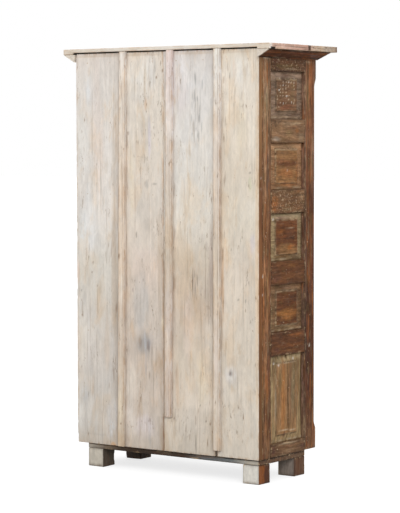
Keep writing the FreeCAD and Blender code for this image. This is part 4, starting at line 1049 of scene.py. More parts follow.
# Tones along the post, how they change across it, and marks, as for the stile
POST_TONES = (
    (1.92, (122, 88, 66)), (1.75, (127, 91, 68)), (1.4, (124, 88, 66)), (1.28, (88, 55, 37)),
    (1.0, (85, 53, 35)), (0.78, (74, 46, 31)), (0.4, (77, 48, 33)), (0.25, (104, 73, 53)),
    (0.12, (114, 86, 66))
)
POST_ACROSS = (
    (-0.116, (1.24, 1.4, 1.6)), (-0.124, (0.94, 1.0, 1.08)), (-0.14, (0.95, 0.92, 0.9)),
    (-0.158, (1.12, 1.08, 1.04)), (-0.17, (1.06, 0.92, 0.8)), (-0.184, (0.88, 0.8, 0.8)),
    (-0.192, (1.0, 1.06, 1.18)), (-0.2, (1.4, 1.8, 2.3))
)
POST_MARKS = (
    (-0.135, 1.76, 0.01, 0.08, "olive", 0.7), (-0.175, 1.15, 0.01, 0.09, "red_brown", 0.6),
    (-0.122, 1.1, 0.006, 0.5, "lilac_grey", 0.35), (-0.117, 0.42, 0.006, 0.06, "plum", 0.7),
    (-0.142, 0.485, 0.008, 0.025, "olive", 0.6), (-0.15, 0.6, 0.004, 0.008, "white", 0.8),
    (-0.15, 1.905, 0.03, 0.006, "worn_cream_and_highlight", 0.55), (-0.172, 1.45, 0.004, 0.2, "worn_cream_and_highlight", 0.5),
    (-0.16, 0.9, 0.01, 0.16, "deep_brown", 0.5), (-0.14, 1.3, 0.006, 0.12, "orange_brown", 0.4),
    (-0.15, 0.18, 0.02, 0.04, "light_brown", 0.4)
)
# The chamfer, and where its stop at the top and its stop at the foot begin and end
CHAMFER_WIDTH = 0.015
CHAMFER_TOP, CHAMFER_FOOT = (1.845, 1.793), (0.202, 0.242)


def make_post():
    """A front corner post, its outer arris taken off between two curved stops."""
    low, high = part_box("front_post_left")
    cuts = [CHAMFER_WIDTH * share for share in (0.2, 0.4, 0.6, 0.8, 1.0, 1.08)]
    stops = [*np.linspace(1.79, 1.85, 14), *np.linspace(0.2, 0.245, 11)]
    form = board(low, high, (0.009, 0.009, 0.008), wear=0.0022, seed=53, wave=0.0008,
                 extra=([low[0] + cut for cut in cuts], [low[1] + cut for cut in cuts], stops))
    x, y, z = form.points.T
    width = CHAMFER_WIDTH * rise(z, *CHAMFER_TOP) * rise(z, *CHAMFER_FOOT)
    short = np.clip(width - (x - low[0]) - (y - low[1]), 0, None)
    x += short / 2
    y += short / 2
    form.edge = np.maximum(form.edge, bell(short - 0.001, 0.0012) * (short > 0))
    return form


def post_colours(points):
    """The front post's tones and marks, a little paler on its face beside the panels."""
    x, y, _ = points.T
    shades = across_shares(paint(points, 2, POST_TONES), points, POST_ACROSS, seed=710)
    shades = stains(shades, points, YZ, POST_MARKS, seed=700)
    inner = rise(y, POST_REAR_Y - 0.003, POST_REAR_Y - 0.0005) * rise(np.abs(x), 0.49, 0.502)
    return over(shades, 0.45 * inner, "lilac_grey")


def make_uprights():
    """The four corner uprights: two front posts and two rear stiles."""
    post = make_post()
    piece("post_left", [post], post_colours, "posts", ["front_post_left"], shift=2.1)
    piece("post_right", [post.turned(MIRROR)], post_colours, "posts", ["front_post_right"], shift=6.3)
    for name, seed in (("left", 59), ("right", 61)):
        form = board(*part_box(f"rear_stile_{name}"), (0.009, 0.006, 0.008), wear=0.0020, seed=seed,
                     wave=0.0008)
        piece(f"stile_{name}", [form], stile_colours, "posts", [f"rear_stile_{name}"], shift=seed)


# The sides: rails and panels

RAIL_NAMES = ["left_top_rail", *(f"left_rail_{i + 1}" for i in range(SMALL_PANELS)), "left_bottom_rail"]
SIDE_RAILS = [(float(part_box(name)[0][2]), float(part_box(name)[1][2])) for name in RAIL_NAMES]
SIDE_OPENINGS = [(below[1], above[0]) for above, below in zip(SIDE_RAILS, SIDE_RAILS[1:])]
CARVED_RAILS = (0, 2)

# Each rail's own colour, then its marks of (y, z, half width, half height, colour, strength)
RAIL_PAINT = (
    ((107, 78, 58), (
        (0.13, 1.91, 0.03, 0.03, "plum", 0.7), (0.151, 1.9, 0.004, 0.004, "worn_cream_and_highlight", 0.9),
        (0.105, 1.911, 0.008, 0.008, "worn_cream_and_highlight", 0.45), (0.105, 1.911, 0.004, 0.004, "deep_brown", 0.8),
        (0.07, 1.887, 0.006, 0.003, "worn_cream_and_highlight", 0.8), (0.04, 1.888, 0.005, 0.003, "worn_cream_and_highlight", 0.8),
        (0.0, 1.889, 0.006, 0.003, "worn_cream_and_highlight", 0.8), (-0.04, 1.89, 0.005, 0.003, "worn_cream_and_highlight", 0.8),
        (0.0, 1.872, 0.07, 0.003, "worn_cream_and_highlight", 0.5), (0.05, 1.88, 0.08, 0.012, "olive", 0.5))),
    ((136, 110, 86), (
        (0.135, 1.63, 0.006, 0.006, "black", 0.75), (0.106, 1.628, 0.005, 0.005, "black", 0.75),
        (0.131, 1.61, 0.005, 0.006, "deep_brown", 0.8), (-0.047, 1.592, 0.02, 0.012, "orange_brown", 0.6),
        (0.12, 1.553, 0.035, 0.01, "blue_grey", 0.35), (0.03, 1.62, 0.05, 0.012, "grey_beige", 0.5),
        (-0.04, 1.625, 0.04, 0.008, "worn_cream_and_highlight", 0.35), (0.02, 1.58, 0.03, 0.015, "olive", 0.45),
        (-0.08, 1.565, 0.02, 0.02, "grey_beige", 0.6))),
    ((114, 86, 62), (
        (0.14, 1.26, 0.03, 0.035, "orange_brown", 0.75), (0.091, 1.297, 0.005, 0.004, "worn_cream_and_highlight", 0.9),
        (-0.001, 1.295, 0.005, 0.004, "worn_cream_and_highlight", 0.9), (0.07, 1.281, 0.004, 0.004, "worn_cream_and_highlight", 0.8),
        (0.045, 1.256, 0.004, 0.005, "worn_cream_and_highlight", 0.8), (-0.039, 1.272, 0.004, 0.005, "worn_cream_and_highlight", 0.8),
        (-0.02, 1.25, 0.05, 0.01, "deep_brown", 0.55), (0.04, 1.235, 0.06, 0.006, "olive_grey", 0.4),
        (-0.08, 1.29, 0.02, 0.02, "grey_beige", 0.5))),
    ((103, 70, 47), (
        (0.12, 0.92, 0.04, 0.016, "plum", 0.5), (0.0, 0.98, 0.06, 0.008, "orange_brown", 0.4),
        (0.05, 0.955, 0.1, 0.004, "deep_brown", 0.6), (-0.06, 0.93, 0.04, 0.01, "mid_brown", 0.5))),
    ((95, 63, 42), (
        (0.05, 0.63, 0.1, 0.005, "deep_brown", 0.5), (-0.03, 0.66, 0.05, 0.006, "orange_brown", 0.4),
        (0.12, 0.6, 0.03, 0.012, "plum", 0.5), (0.0, 0.59, 0.06, 0.004, "light_brown", 0.35))),
    ((112, 88, 68), (
        (0.15, 0.14, 0.02, 0.03, "plum", 0.65), (-0.1, 0.13, 0.02, 0.03, "plum", 0.6),
        (0.03, 0.165, 0.08, 0.004, "worn_cream_and_highlight", 0.6), (0.02, 0.13, 0.06, 0.008, "grey_beige", 0.4))),
)
# Each panel's colours on its border and on its field, then its marks
PANEL_PAINT = (
    ((134, 118, 106), (120, 93, 73), (
        (0.03, 1.7, 0.05, 0.018, "brick", 0.4), (0.091, 1.774, 0.006, 0.005, "white", 0.9),
        (0.028, 1.748, 0.006, 0.004, "white", 0.9), (0.03, 1.675, 0.09, 0.012, "grey_beige", 0.35),
        (0.03, 1.842, 0.1, 0.01, "lilac_grey", 0.6), (-0.02, 1.77, 0.02, 0.05, "olive", 0.35))),
    ((160, 128, 100), (149, 115, 80), (
        (0.03, 1.445, 0.1, 0.02, "brick", 0.55), (0.03, 1.438, 0.08, 0.01, "deep_brown", 0.55),
        (0.023, 1.412, 0.007, 0.005, "white", 0.85), (0.05, 1.49, 0.06, 0.02, "light_brown", 0.4),
        (0.03, 1.4, 0.08, 0.02, (162, 108, 68), 0.6), (0.03, 1.35, 0.09, 0.01, "orange_brown", 0.6),
        (-0.06, 1.42, 0.016, 0.09, "orange_brown", 0.5), (0.03, 1.325, 0.09, 0.01, "olive_grey", 0.5),
        (0.03, 1.52, 0.09, 0.012, "grey_beige", 0.6), (0.15, 1.42, 0.012, 0.08, "grey_beige", 0.5))),
    ((150, 136, 110), (106, 68, 42), (
        (0.03, 1.045, 0.09, 0.034, (138, 106, 72), 0.9), (0.0, 1.062, 0.028, 0.012, (158, 100, 52), 0.7),
        (0.132, 1.192, 0.006, 0.006, "white", 0.75), (0.075, 1.135, 0.03, 0.01, "orange_brown", 0.6),
        (-0.01, 1.15, 0.04, 0.0025, "worn_cream_and_highlight", 0.5), (0.148, 1.11, 0.012, 0.09, (150, 134, 104), 0.7),
        (0.05, 1.197, 0.09, 0.008, "lilac_grey", 0.7), (0.03, 0.998, 0.1, 0.012, (140, 120, 90), 0.6),
        # the black strip at y -0.107 on the next line is painted shadow where the panel meets the post
        (0.0, 1.105, 0.06, 0.008, "deep_brown", 0.6), (-0.107, 1.09, 0.006, 0.1, "black", 0.7))),
    ((118, 96, 75), (97, 63, 40), (
        (0.03, 0.752, 0.09, 0.03, (146, 102, 60), 0.95), (0.05, 0.765, 0.04, 0.01, (160, 112, 66), 0.5),
        (-0.01, 0.825, 0.07, 0.014, "deep_brown", 0.5), (0.02, 0.69, 0.1, 0.014, (140, 122, 94), 0.7),
        (0.148, 0.76, 0.012, 0.08, (134, 118, 92), 0.7), (0.04, 0.878, 0.09, 0.01, "brown_grey", 0.5))),
)
TALL_PAINT = ((160, 143, 112), (152, 122, 90), (
    (0.055, 0.38, 0.022, 0.2, (166, 118, 72), 0.75), (0.0135, 0.38, 0.0042, 0.21, "black", 0.8),
    (-0.05, 0.39, 0.034, 0.17, (130, 104, 76), 0.6), (0.02, 0.565, 0.012, 0.014, "deep_brown", 0.85),
    # the black strip at y -0.1065 on the next line is painted shadow in the groove where the panel meets the
    # post
    (-0.1065, 0.39, 0.007, 0.2, "black", 0.9), (0.128, 0.538, 0.007, 0.007, "white", 0.85),
    (0.094, 0.526, 0.007, 0.006, "white", 0.8), (-0.034, 0.548, 0.007, 0.007, "white", 0.85),
    (0.116, 0.36, 0.005, 0.1, "worn_cream_and_highlight", 0.75), (-0.004, 0.4, 0.014, 0.16, "brown_grey", 0.5),
    (-0.03, 0.42, 0.02, 0.14, "olive_grey", 0.7), (0.08, 0.46, 0.02, 0.06, "olive", 0.5),
    (0.045, 0.207, 0.01, 0.014, "red_brown", 0.8), (0.05, 0.225, 0.05, 0.003, "worn_cream_and_highlight", 0.7),
    (-0.02, 0.22, 0.03, 0.003, "worn_cream_and_highlight", 0.6), (0.1, 0.55, 0.05, 0.02, "olive_grey", 0.7),
    (-0.05, 0.52, 0.02, 0.04, "olive", 0.6)
))
STARS_LOW, STARS_HIGH = (-0.045, 1.71), (0.115, 1.835)
STAR_COLUMNS, STAR_ROWS = 7, 8


def punched(seed):
    """Marks of the small punched stars on the top panel, in rows that waver, some of them lost."""
    (y0, z0), (y1, z1) = STARS_LOW, STARS_HIGH
    spots = np.array([(y0 + (y1 - y0) * (i + 0.5) / STAR_COLUMNS, z0 + (z1 - z0) * (j + 0.5) / STAR_ROWS, 0.0)
                      for i, j in product(range(STAR_COLUMNS), range(STAR_ROWS))])
    moved = spots[:, :2] + 0.005 * np.stack([noise(spots, 0.011, seed), noise(spots, 0.013, seed + 1)], -1)
    kept = noise(spots, 0.017, seed + 2)
    return tuple((y, z, 0.0046, 0.0036, "white" if keep > 0.35 else "worn_cream_and_highlight", 0.9)
                 for (y, z), keep in zip(moved, kept) if keep > -0.15)


# How wide the painted shade in a panel's corners and in the groove round its field, its pale arris and its
# sill are
CORNER_SHADE_WIDTH, GROOVE_WIDTH, ARRIS_WIDTH, SILL_WIDTH = 0.005, 0.0028, 0.0030, 0.0036


def panel_colours(opening, margin, palette, seed, axes=YZ):
    """A panel's colours: one on its border, lighter near its top as painted light, one on its field, painted
    shade in its corners and groove, and its marks.
    """
    border, field, marks = palette
    across, up = opening

    def colours(points):
        a, b = points[:, axes[0]], points[:, axes[1]]
        gap_a, gap_b = np.minimum(a - across[0], across[1] - a), np.minimum(b - up[0], up[1] - b)
        past = np.minimum(gap_a - margin[0], gap_b - margin[1])
        share = rise(past + 0.002 * noise(points, 0.02, seed), -0.002, 0.004)
        shades = blend(linear(border), share, linear(field))
        # painted light: the border is made lighter near the top of the opening, where the rail above shades
        # it
        shades = shades * (1 + 0.55 * rise(b, up[1] - 0.045, up[1] - 0.012) * (1 - share))[:, None]
        shades = stains(shades, points, axes, marks, seed=seed)
        uneven = 0.7 + 0.3 * noise(points, 0.03, seed + 9)
        # painted shade: black in the opening's corners and in the groove round the field
        painted_shade = bell(np.clip(np.minimum(gap_a, gap_b), 0, 1), CORNER_SHADE_WIDTH) * 0.7 * uneven
        groove = bell(past + 0.0022, GROOVE_WIDTH) * 0.60 * uneven
        shades = over(shades, np.clip(painted_shade + groove, 0, 0.9), "black")
        # pale paint left along the field's arris and the foot of the opening, partly painted highlight, most
        # on the field's upper arris
        left = rise(noise(points, 0.025, seed + 11), -0.4, 0.5)
        top = rise(b, up[1] - margin[1] - 0.012, up[1] - margin[1] - 0.002)
        line = bell(past - 0.0030, ARRIS_WIDTH) * (0.16 + 0.34 * top)
        sill = bell(b - up[0] - 0.009, SILL_WIDTH) * 0.80
        return over(shades, np.maximum(line, sill) * left, "worn_cream_and_highlight")
    return colours


def rail_colours(colour, marks, seed):
    """A side rail's colour and marks, darker at its ends, with painted shade along the foot of the carcass.
    """
    def colours(points):
        _, y, z = points.T
        shades = stains(np.tile(linear(colour), (len(points), 1)), points, YZ, marks, seed=seed)
        ends = bell(np.clip(np.minimum(y - POST_REAR_Y, STILE_FRONT_Y - y), 0, 1), 0.004)
        # the black line along the foot of the carcass is painted shade
        return over(shades, np.maximum(ends * 0.5, 0.8 * bell(z - CARCASS_FOOT, 0.004)), "black")
    return colours


def make_side_rails():
    """The left side's rails. Returns their forms and paints."""
    forms, paints = [], []
    for number, (name, (low_z, high_z)) in enumerate(zip(RAIL_NAMES, SIDE_RAILS)):
        forms.append(board((SIDE_X, POST_REAR_Y, low_z), (SIDE_X + FRAME_THICK, STILE_FRONT_Y, high_z),
                           (0.010, 0.0055, 0.0055), wear=0.0020, seed=70 + number, wave=0.0007))
        paints.append(rail_colours(*RAIL_PAINT[number], seed=800 + 20 * number))
        finish = "speckled_rails" if number in CARVED_RAILS else "side_rails"
        piece(name.replace("left_", "side_left_"), forms[-1:], paints[-1], finish, [name], shift=number * 2.9)
    return forms, paints


def make_small_panels():
    """The left side's four small panels, the top one with punched stars. Returns their forms and paints."""
    forms, paints = [], []
    for number, (up, margin) in enumerate(zip(SIDE_OPENINGS, PANEL_MARGINS)):
        form = raised_panel(SIDE_ACROSS, up, SIDE_BORDER, SIDE_FIELD, margin, seed=90 + number)
        forms.append(form.turned(LEFT_WALL, (SIDE_X, 0, 0)))
        border, field, marks = PANEL_PAINT[number]
        stars = punched(881) if number == 0 else ()
        paints.append(panel_colours((SIDE_ACROSS, up), margin, (border, field, marks + stars),
                                    seed=900 + 20 * number))
        piece(f"side_left_panel_{number + 1}", forms[-1:], paints[-1], "panels",
              [f"left_panel_{number + 1}"], shift=number * 4.3)
    return forms, paints


def make_sides():
    """The left side, and the right side as its twin in the same colours with another grain."""
    rails, rail_paints = make_side_rails()
    panels, panel_paints = make_small_panels()
    up = SIDE_OPENINGS[-1]
    tall = [form.turned(LEFT_WALL, (SIDE_X, 0, 0)) for form in
            tall_forms(SIDE_ACROSS, up, SIDE_BORDER, SIDE_FIELD, TALL_MARGIN, seed=99,
                       shift=TALL_CRACK_SHIFT)]
    tall_paint = panel_colours((SIDE_ACROSS, up), TALL_MARGIN, TALL_PAINT, seed=990)
    piece("side_left_tall_panel", tall, tall_paint, "tall_panels", ["left_tall_panel"], shift=9.1)
    panels, panel_paints = panels + tall, panel_paints + [tall_paint] * 2
    piece("side_right_rails", [form.turned(MIRROR) for form in rails], each_own(rails, rail_paints),
          "side_rails", ["right_side_rails"], shift=13.7)
    piece("side_right_panels", [form.turned(MIRROR) for form in panels], each_own(panels, panel_paints),
          "panels", ["right_side_panels"], shift=17.9)


# The base

# Each foot's rear face, its left face near the back and near the front, and its other faces
FOOT_PAINT = {
    "foot_rear_right": ((196, 188, 174), (84, 75, 64), (84, 75, 64), (76, 62, 48)),
    "foot_front_right": ((64, 54, 46), (58, 47, 40), (58, 47, 40), (58, 44, 36)),
    "foot_rear_left": ((220, 215, 205), (138, 82, 44), (84, 52, 36), (76, 52, 38)),
    # the front left foot's rear face is painted lighter, as painted light on a face that stands in shade
    "foot_front_left": ((140, 128, 118), (92, 65, 49), (98, 70, 52), (76, 52, 38)),
}
# The base board's colours from left to right, and along its left side from front to back
BASE_TONES = ((-0.52, (186, 180, 168)), (-0.45, (168, 164, 154)), (-0.37, (110, 114, 114)),
              (-0.24, (98, 100, 100)), (-0.10, (60, 50, 42)), (0.20, (58, 46, 36)), (0.36, (112, 98, 84)),
              (0.47, (184, 174, 160)))
BASE_SIDE_TONES = ((-0.12, (112, 88, 68)), (0.25, (92, 68, 52)))


def base_colours(points):
    """Pale and grey behind, brown at the left side, and black along its top, painted shade where the carcass
    stands on it.
    """
    side = rise(-points[:, 0], -BASE_X - 0.0045, -BASE_X - 0.0015)
    shades = blend(paint(points, 0, BASE_TONES), side, paint(points, 1, BASE_SIDE_TONES))
    # painted shade: black along the top, under the carcass
    return over(shades, 0.85 * rise(points[:, 2], CARCASS_FOOT - 0.009, CARCASS_FOOT - 0.001), "black")


def foot_colours(name, number):
    """A block foot: its own colour on each face, and darker near the floor."""
    rear, side_rear, side_front, other = map(linear, FOOT_PAINT[name])
    low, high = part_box(name)

    def colours(points):
        x, y, z = points.T
        shades = blend(np.tile(other, (len(points), 1)), rise(y, high[1] - 0.004, high[1] - 0.0008), rear)
        middle = (low[1] + high[1]) / 2 + 0.010 * noise(points, 0.03, number)
        side = blend(side_front, rise(y, middle - 0.006, middle + 0.006), side_rear)
        shades = blend(shades, rise(x, low[0] + 0.004, low[0] + 0.0008), side)
        return over(shades, rise(z, 0.020, 0.002) * (0.35 + 0.35 * noise(points, 0.02, number)), "dark")
    return colours


def make_base():
    """The low platform board and its four block feet."""
    form = board(*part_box("base_board"), (0.010, 0.010, 0.005), wear=0.0022, seed=121, wave=0.0008)
    piece("base_platform", [form], base_colours, "base", ["base_board"], shift=3.3)
    for number, name in enumerate(FOOT_PAINT):
        form = board(*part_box(name), (0.006, 0.006, 0.006), wear=0.0032, seed=131 + number, wave=0.0012)
        piece(name.replace("foot", "block_foot"), [form], foot_colours(name, number), "feet", [name],
              shift=number * 3.1)


def dress_inside():
    """The inside boards keep their CAD shape, with softened arrises."""
    for name in ("bottom_board", "lower_shelf", "upper_shelf", "shelf_cleats", "rear_top_rail"):
        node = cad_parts[name]
        node.data.materials.clear()
        node.data.materials.append(MATERIALS["inside"][0])
        bevel = node.modifiers.new("soft_arrises", "BEVEL")
        bevel.width = 0.0018
        bevel.segments = 2
        bevel.limit_method = "ANGLE"


# The front frame and the doors

DOOR_TONES = ((1.85, (120, 90, 66)), (1.50, (126, 96, 70)), (1.10, (112, 80, 56)), (0.70, (108, 76, 52)),
              (0.40, (100, 70, 48)), (0.20, (108, 80, 60)))
DOOR_MARKS = ((0.10, 1.50, 0.10, 0.12, "olive", 0.5), (0.30, 1.20, 0.08, 0.10, "red_brown", 0.5),
              (0.05, 1.06, 0.05, 0.10, "deep_brown", 0.5), (0.38, 0.70, 0.05, 0.20, "olive", 0.45),
              (0.15, 0.55, 0.12, 0.08, "plum", 0.4), (0.22, 1.78, 0.12, 0.04, "brown_grey", 0.5),
              (0.40, 1.70, 0.03, 0.20, "orange_brown", 0.4), (0.04, 0.40, 0.04, 0.16, "orange_brown", 0.4))


def door_colours(points):
    """The doors' and front rails' tones, with the same marks on both sides of the middle."""
    shades = stains(paint(points, 2, DOOR_TONES), points * (-1, 1, 1), XZ, DOOR_MARKS, seed=1100)
    return stains(shades, points, XZ, DOOR_MARKS, seed=1150)


# The gap between a door's edge and the post, which the front rails run across
RAIL_PAST_DOOR = 0.003


def make_front_rails():
    """The rails above and below the doors."""
    inner = abs(float(DOOR_LOW[0])) + RAIL_PAST_DOOR
    for name, seed in (("front_top_rail", 141), ("front_bottom_rail", 143)):
        low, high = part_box(name)
        form = board((-inner, FRONT_Y, low[2]), (inner, FRONT_Y + FRAME_THICK, high[2]),
                     (0.007, 0.010, 0.006), wear=0.0020, seed=seed, wave=0.0008)
        piece(name.replace("front_", "facade_"), [form], door_colours, "front_rails", [name], shift=seed)


def door_openings():
    """The door's openings from the top down, as pairs of heights."""
    clear = DOOR_HIGH[2] - DOOR_LOW[2] - (SMALL_PANELS + 1) * DOOR_RAIL - DOOR_FOOT_RAIL
    top = DOOR_HIGH[2] - DOOR_RAIL
    openings = []
    for _ in range(SMALL_PANELS):
        openings.append((top - DOOR_PANEL_SHARE * clear, top))
        top = openings[-1][0] - DOOR_RAIL
    return openings + [(DOOR_LOW[2] + DOOR_FOOT_RAIL, top)]


def door_forms():
    """The left door's stiles, rails and panels, and a paint for each panel."""
    meet_low, meet_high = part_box("left_door_meeting_stile")
    stiles = [board(low, high, (0.008, 0.012, 0.008), wear=0.0020, seed=seed, wave=0.0008)
              for low, high, seed in ((DOOR_LOW, DOOR_HIGH, 151), (meet_low, meet_high, 153))]
    across = (float(DOOR_HIGH[0]), float(meet_low[0]))
    openings = door_openings()
    heads = [DOOR_HIGH[2]] + [low for low, _ in openings]
    feet = [high for _, high in openings] + [DOOR_LOW[2]]
    rails = [board((across[0], DOOR_LOW[1], foot), (across[1], DOOR_HIGH[1], head), (0.0065, 0.012, 0.006),
                   wear=0.0020, seed=160 + i, wave=0.0007) for i, (head, foot) in enumerate(zip(heads, feet))]
    panels = [raised_panel(across, up, DOOR_BORDER, DOOR_FIELD, DOOR_MARGIN, seed=170 + i)
              for i, up in enumerate(openings[:SMALL_PANELS])]
    panels += tall_forms(across, openings[-1], DOOR_BORDER, DOOR_FIELD, DOOR_MARGIN, seed=179)
    panels = [panel.turned(FRONT_WALL, (0, FRONT_Y, 0)) for panel in panels]
    paints = [panel_colours((across, up), DOOR_MARGIN, (*PANEL_PAINT[i % SMALL_PANELS][:2], ()),
                            seed=1200 + i, axes=XZ) for i, up in enumerate(openings)]
    return stiles, rails, panels, paints + paints[-1:]


def make_doors():
    """Both doors, the right one as the left one's mirror image with another grain."""
    stiles, rails, panels, paints = door_forms()
    left_paint = each_own(panels, paints)

    def panel_paint(points):
        # the paint is made for the left door's own places, at -X
        return left_paint(points * (-np.sign(points[:, 0].mean()), 1, 1))

    for hand, axes, shift in (("left", SAME, 0.0), ("right", MIRROR, 40.0)):
        body = f"{hand}_door"
        for form, part in zip(stiles, ("hinge_stile", "meeting_stile")):
            piece(f"leaf_{hand}_{part}", [form.turned(axes)], door_colours, "door_stiles",
                  [f"{hand}_door_{part}"], body, shift + 1.1)
        piece(f"leaf_{hand}_rails", [rail.turned(axes) for rail in rails], door_colours, "door_rails",
              [f"{hand}_door_rails"], body, shift + 4.7)
        piece(f"leaf_{hand}_panels", [panel.turned(axes) for panel in panels], panel_paint, "door_stiles",
              [f"{hand}_door_panels"], body, shift + 8.3)


# The ironwork

PIN_RADIUS, EYE_RADIUS, PIN_CLEARANCE = 0.005, 0.0091, 0.0001
HINGE_X, PIN_Y = -0.4285, FRONT_Y - 0.0095
HINGE_LEVELS = (1.785, 0.945, 0.255)
STRAP_WIDTH, STRAP_TIP, STRAP_LENGTH, STRAP_THICK = 0.034, 0.016, 0.190, 0.004
STRAP_START, TIP_ROUND = 0.0065, 0.009
RIVET_PLACES = (0.045, 0.105, 0.165)
# Pairs of radius and height, here and for the rosette and the knob's stem
RIVET_HEAD = ((0.0042, 0.0), (0.0040, 0.0004), (0.0030, 0.0008), (0.0010, 0.0010))
BOSS_HEIGHT, SEAT_GAP, PIN_OVERRUN = 0.012, 0.0003, 0.004
POST_PLATE_X, POST_PLATE_WIDTH, POST_PLATE_HEIGHT = -0.440, 0.040, 0.074
PULL_X, PULL_Z, PULL_OFFSET = -0.0405, 1.130, 0.01225
ROSETTE = ((0.0200, 0.0), (0.0198, 0.0008), (0.0172, 0.0016), (0.0120, 0.0019), (0.0060, 0.0025))
RING_RADIUS, RING_WIRE, RING_DROP = 0.030, 0.004, 0.0016
EYE_WIRE, PULL_EYE, GUIDE_EYE = 0.0025, 0.0085, 0.0087
LATCH_Z, BOLT_OFFSET, KNOB_X = 1.000, 0.01245, -0.0559
BOLT_RADIUS, BOLT_TAIL, BOLT_TIP = 0.005, -0.0775, -0.009
KNOB_RADIUS, KNOB_LOW, KNOB_HIGH = 0.0065, 0.014, 0.021
KNOB_STEM = ((0.004, 0.0), (0.0038, 0.010), (0.0036, 0.0155))
GUIDE_XS = (-0.015, -0.063)
GUIDE_HALF_WIDTH, GUIDE_HALF_HEIGHT, GUIDE_THICK = 0.005, 0.016, 0.0025


def make_strap(level, seed):
    """A hinge strap that narrows to its tip, with its eye, and three rivets."""
    low = (HINGE_X + STRAP_START, FRONT_Y - STRAP_THICK, level - STRAP_WIDTH / 2)
    high = (HINGE_X + STRAP_LENGTH, FRONT_Y, level + STRAP_WIDTH / 2)
    blade = board(low, high, (0.006, 0.0015, 0.004), wear=0.0007, seed=seed, wave=0.0003)
    x, _, z = blade.points.T
    share = np.clip((x - HINGE_X - STRAP_WIDTH) / (STRAP_LENGTH - STRAP_WIDTH), 0, 1)
    width = 1 - (1 - STRAP_TIP / STRAP_WIDTH) * share
    tip = np.sqrt(np.clip(1 - (np.clip(x - high[0] + TIP_ROUND, 0, TIP_ROUND) / 0.0095) ** 2, 0.1, 1))
    z -= (z - level) * (1 - width * tip)
    eye = tube(EYE_RADIUS, PIN_RADIUS + PIN_CLEARANCE, -STRAP_WIDTH / 2, STRAP_WIDTH / 2)
    rivets = [turned_rod(RIVET_HEAD, 14, rough=0.1, seed=seed + i)
              .turned(TO_FRONT, (HINGE_X + away, FRONT_Y - STRAP_THICK + 0.0002, level))
              for i, away in enumerate(RIVET_PLACES)]
    return [blade, eye.turned(SAME, (HINGE_X, PIN_Y, level))] + rivets


def make_pintle(level, seed):
    """A plate on the post with a boss and the hinge pin."""
    seat = level - STRAP_WIDTH / 2 - SEAT_GAP
    foot = seat - BOSS_HEIGHT
    plate = board((POST_PLATE_X - POST_PLATE_WIDTH, FRONT_Y - STRAP_THICK, foot - POST_PLATE_HEIGHT / 3),
                  (POST_PLATE_X, FRONT_Y, foot + 2 * POST_PLATE_HEIGHT / 3), (0.005, 0.0015, 0.005),
                  wear=0.0007, seed=seed, wave=0.0003)
    arm = board((POST_PLATE_X - 0.001, FRONT_Y - STRAP_THICK, foot), (HINGE_X, FRONT_Y - 0.0001, seat),
                (0.003, 0.0015, 0.003), wear=0.0005, seed=seed + 1, wave=0.0002)
    boss = turned_rod(rounded(EYE_RADIUS, foot, seat, corner=0.0008), 36, rough=0.02, seed=seed)
    end = seat + SEAT_GAP + STRAP_WIDTH + PIN_OVERRUN
    pin = turned_rod(rounded(PIN_RADIUS, seat - 0.004, end, corner=0.0012), 32)
    return [plate, arm, boss.turned(SAME, (HINGE_X, PIN_Y, 0)), pin.turned(SAME, (HINGE_X, PIN_Y, 0))]


def make_pull():
    """The pull's rosette and eye, on the left door."""
    rosette = turned_rod(ROSETTE, 40, rough=0.03, seed=3).turned(TO_FRONT, (PULL_X, FRONT_Y, PULL_Z))
    eye = hoop(PULL_EYE, EYE_WIRE, turns=32, sides=12, rough=0.04, seed=5)
    return [rosette, eye.turned(TO_X, (PULL_X, FRONT_Y - PULL_OFFSET, PULL_Z))]


def make_guide(number):
    """One of the bolt's two guides on its small plate, on the left door."""
    x = GUIDE_XS[number]
    low = (x - GUIDE_HALF_WIDTH, FRONT_Y - GUIDE_THICK, LATCH_Z - GUIDE_HALF_HEIGHT)
    high = (x + GUIDE_HALF_WIDTH, FRONT_Y, LATCH_Z + GUIDE_HALF_HEIGHT)
    plate = board(low, high, (0.002, 0.001, 0.003), wear=0.0005, seed=190 + number, wave=0.0001)
    eye = hoop(GUIDE_EYE, EYE_WIRE, turns=32, sides=12, rough=0.04, seed=9 + number)
    return [plate, eye.turned(TO_X, (x, FRONT_Y - BOLT_OFFSET, LATCH_Z))]


def make_bolt():
    """The slide bolt: a rod with rounded ends and a knob to push it by."""
    rod = turned_rod(rounded(BOLT_RADIUS, BOLT_TAIL, BOLT_TIP, corner=0.0014), 28, rough=0.02, seed=7)
    stem = turned_rod(KNOB_STEM, 20, rough=0.02, seed=9)
    knob = turned_rod(rounded(KNOB_RADIUS, KNOB_LOW, KNOB_HIGH, corner=0.0030), 28, rough=0.03, seed=11)
    spot = (KNOB_X, FRONT_Y - BOLT_OFFSET, LATCH_Z)
    return [rod.turned(TO_X, (0, spot[1], LATCH_Z)), stem.turned(TO_FRONT, spot), knob.turned(TO_FRONT, spot)]


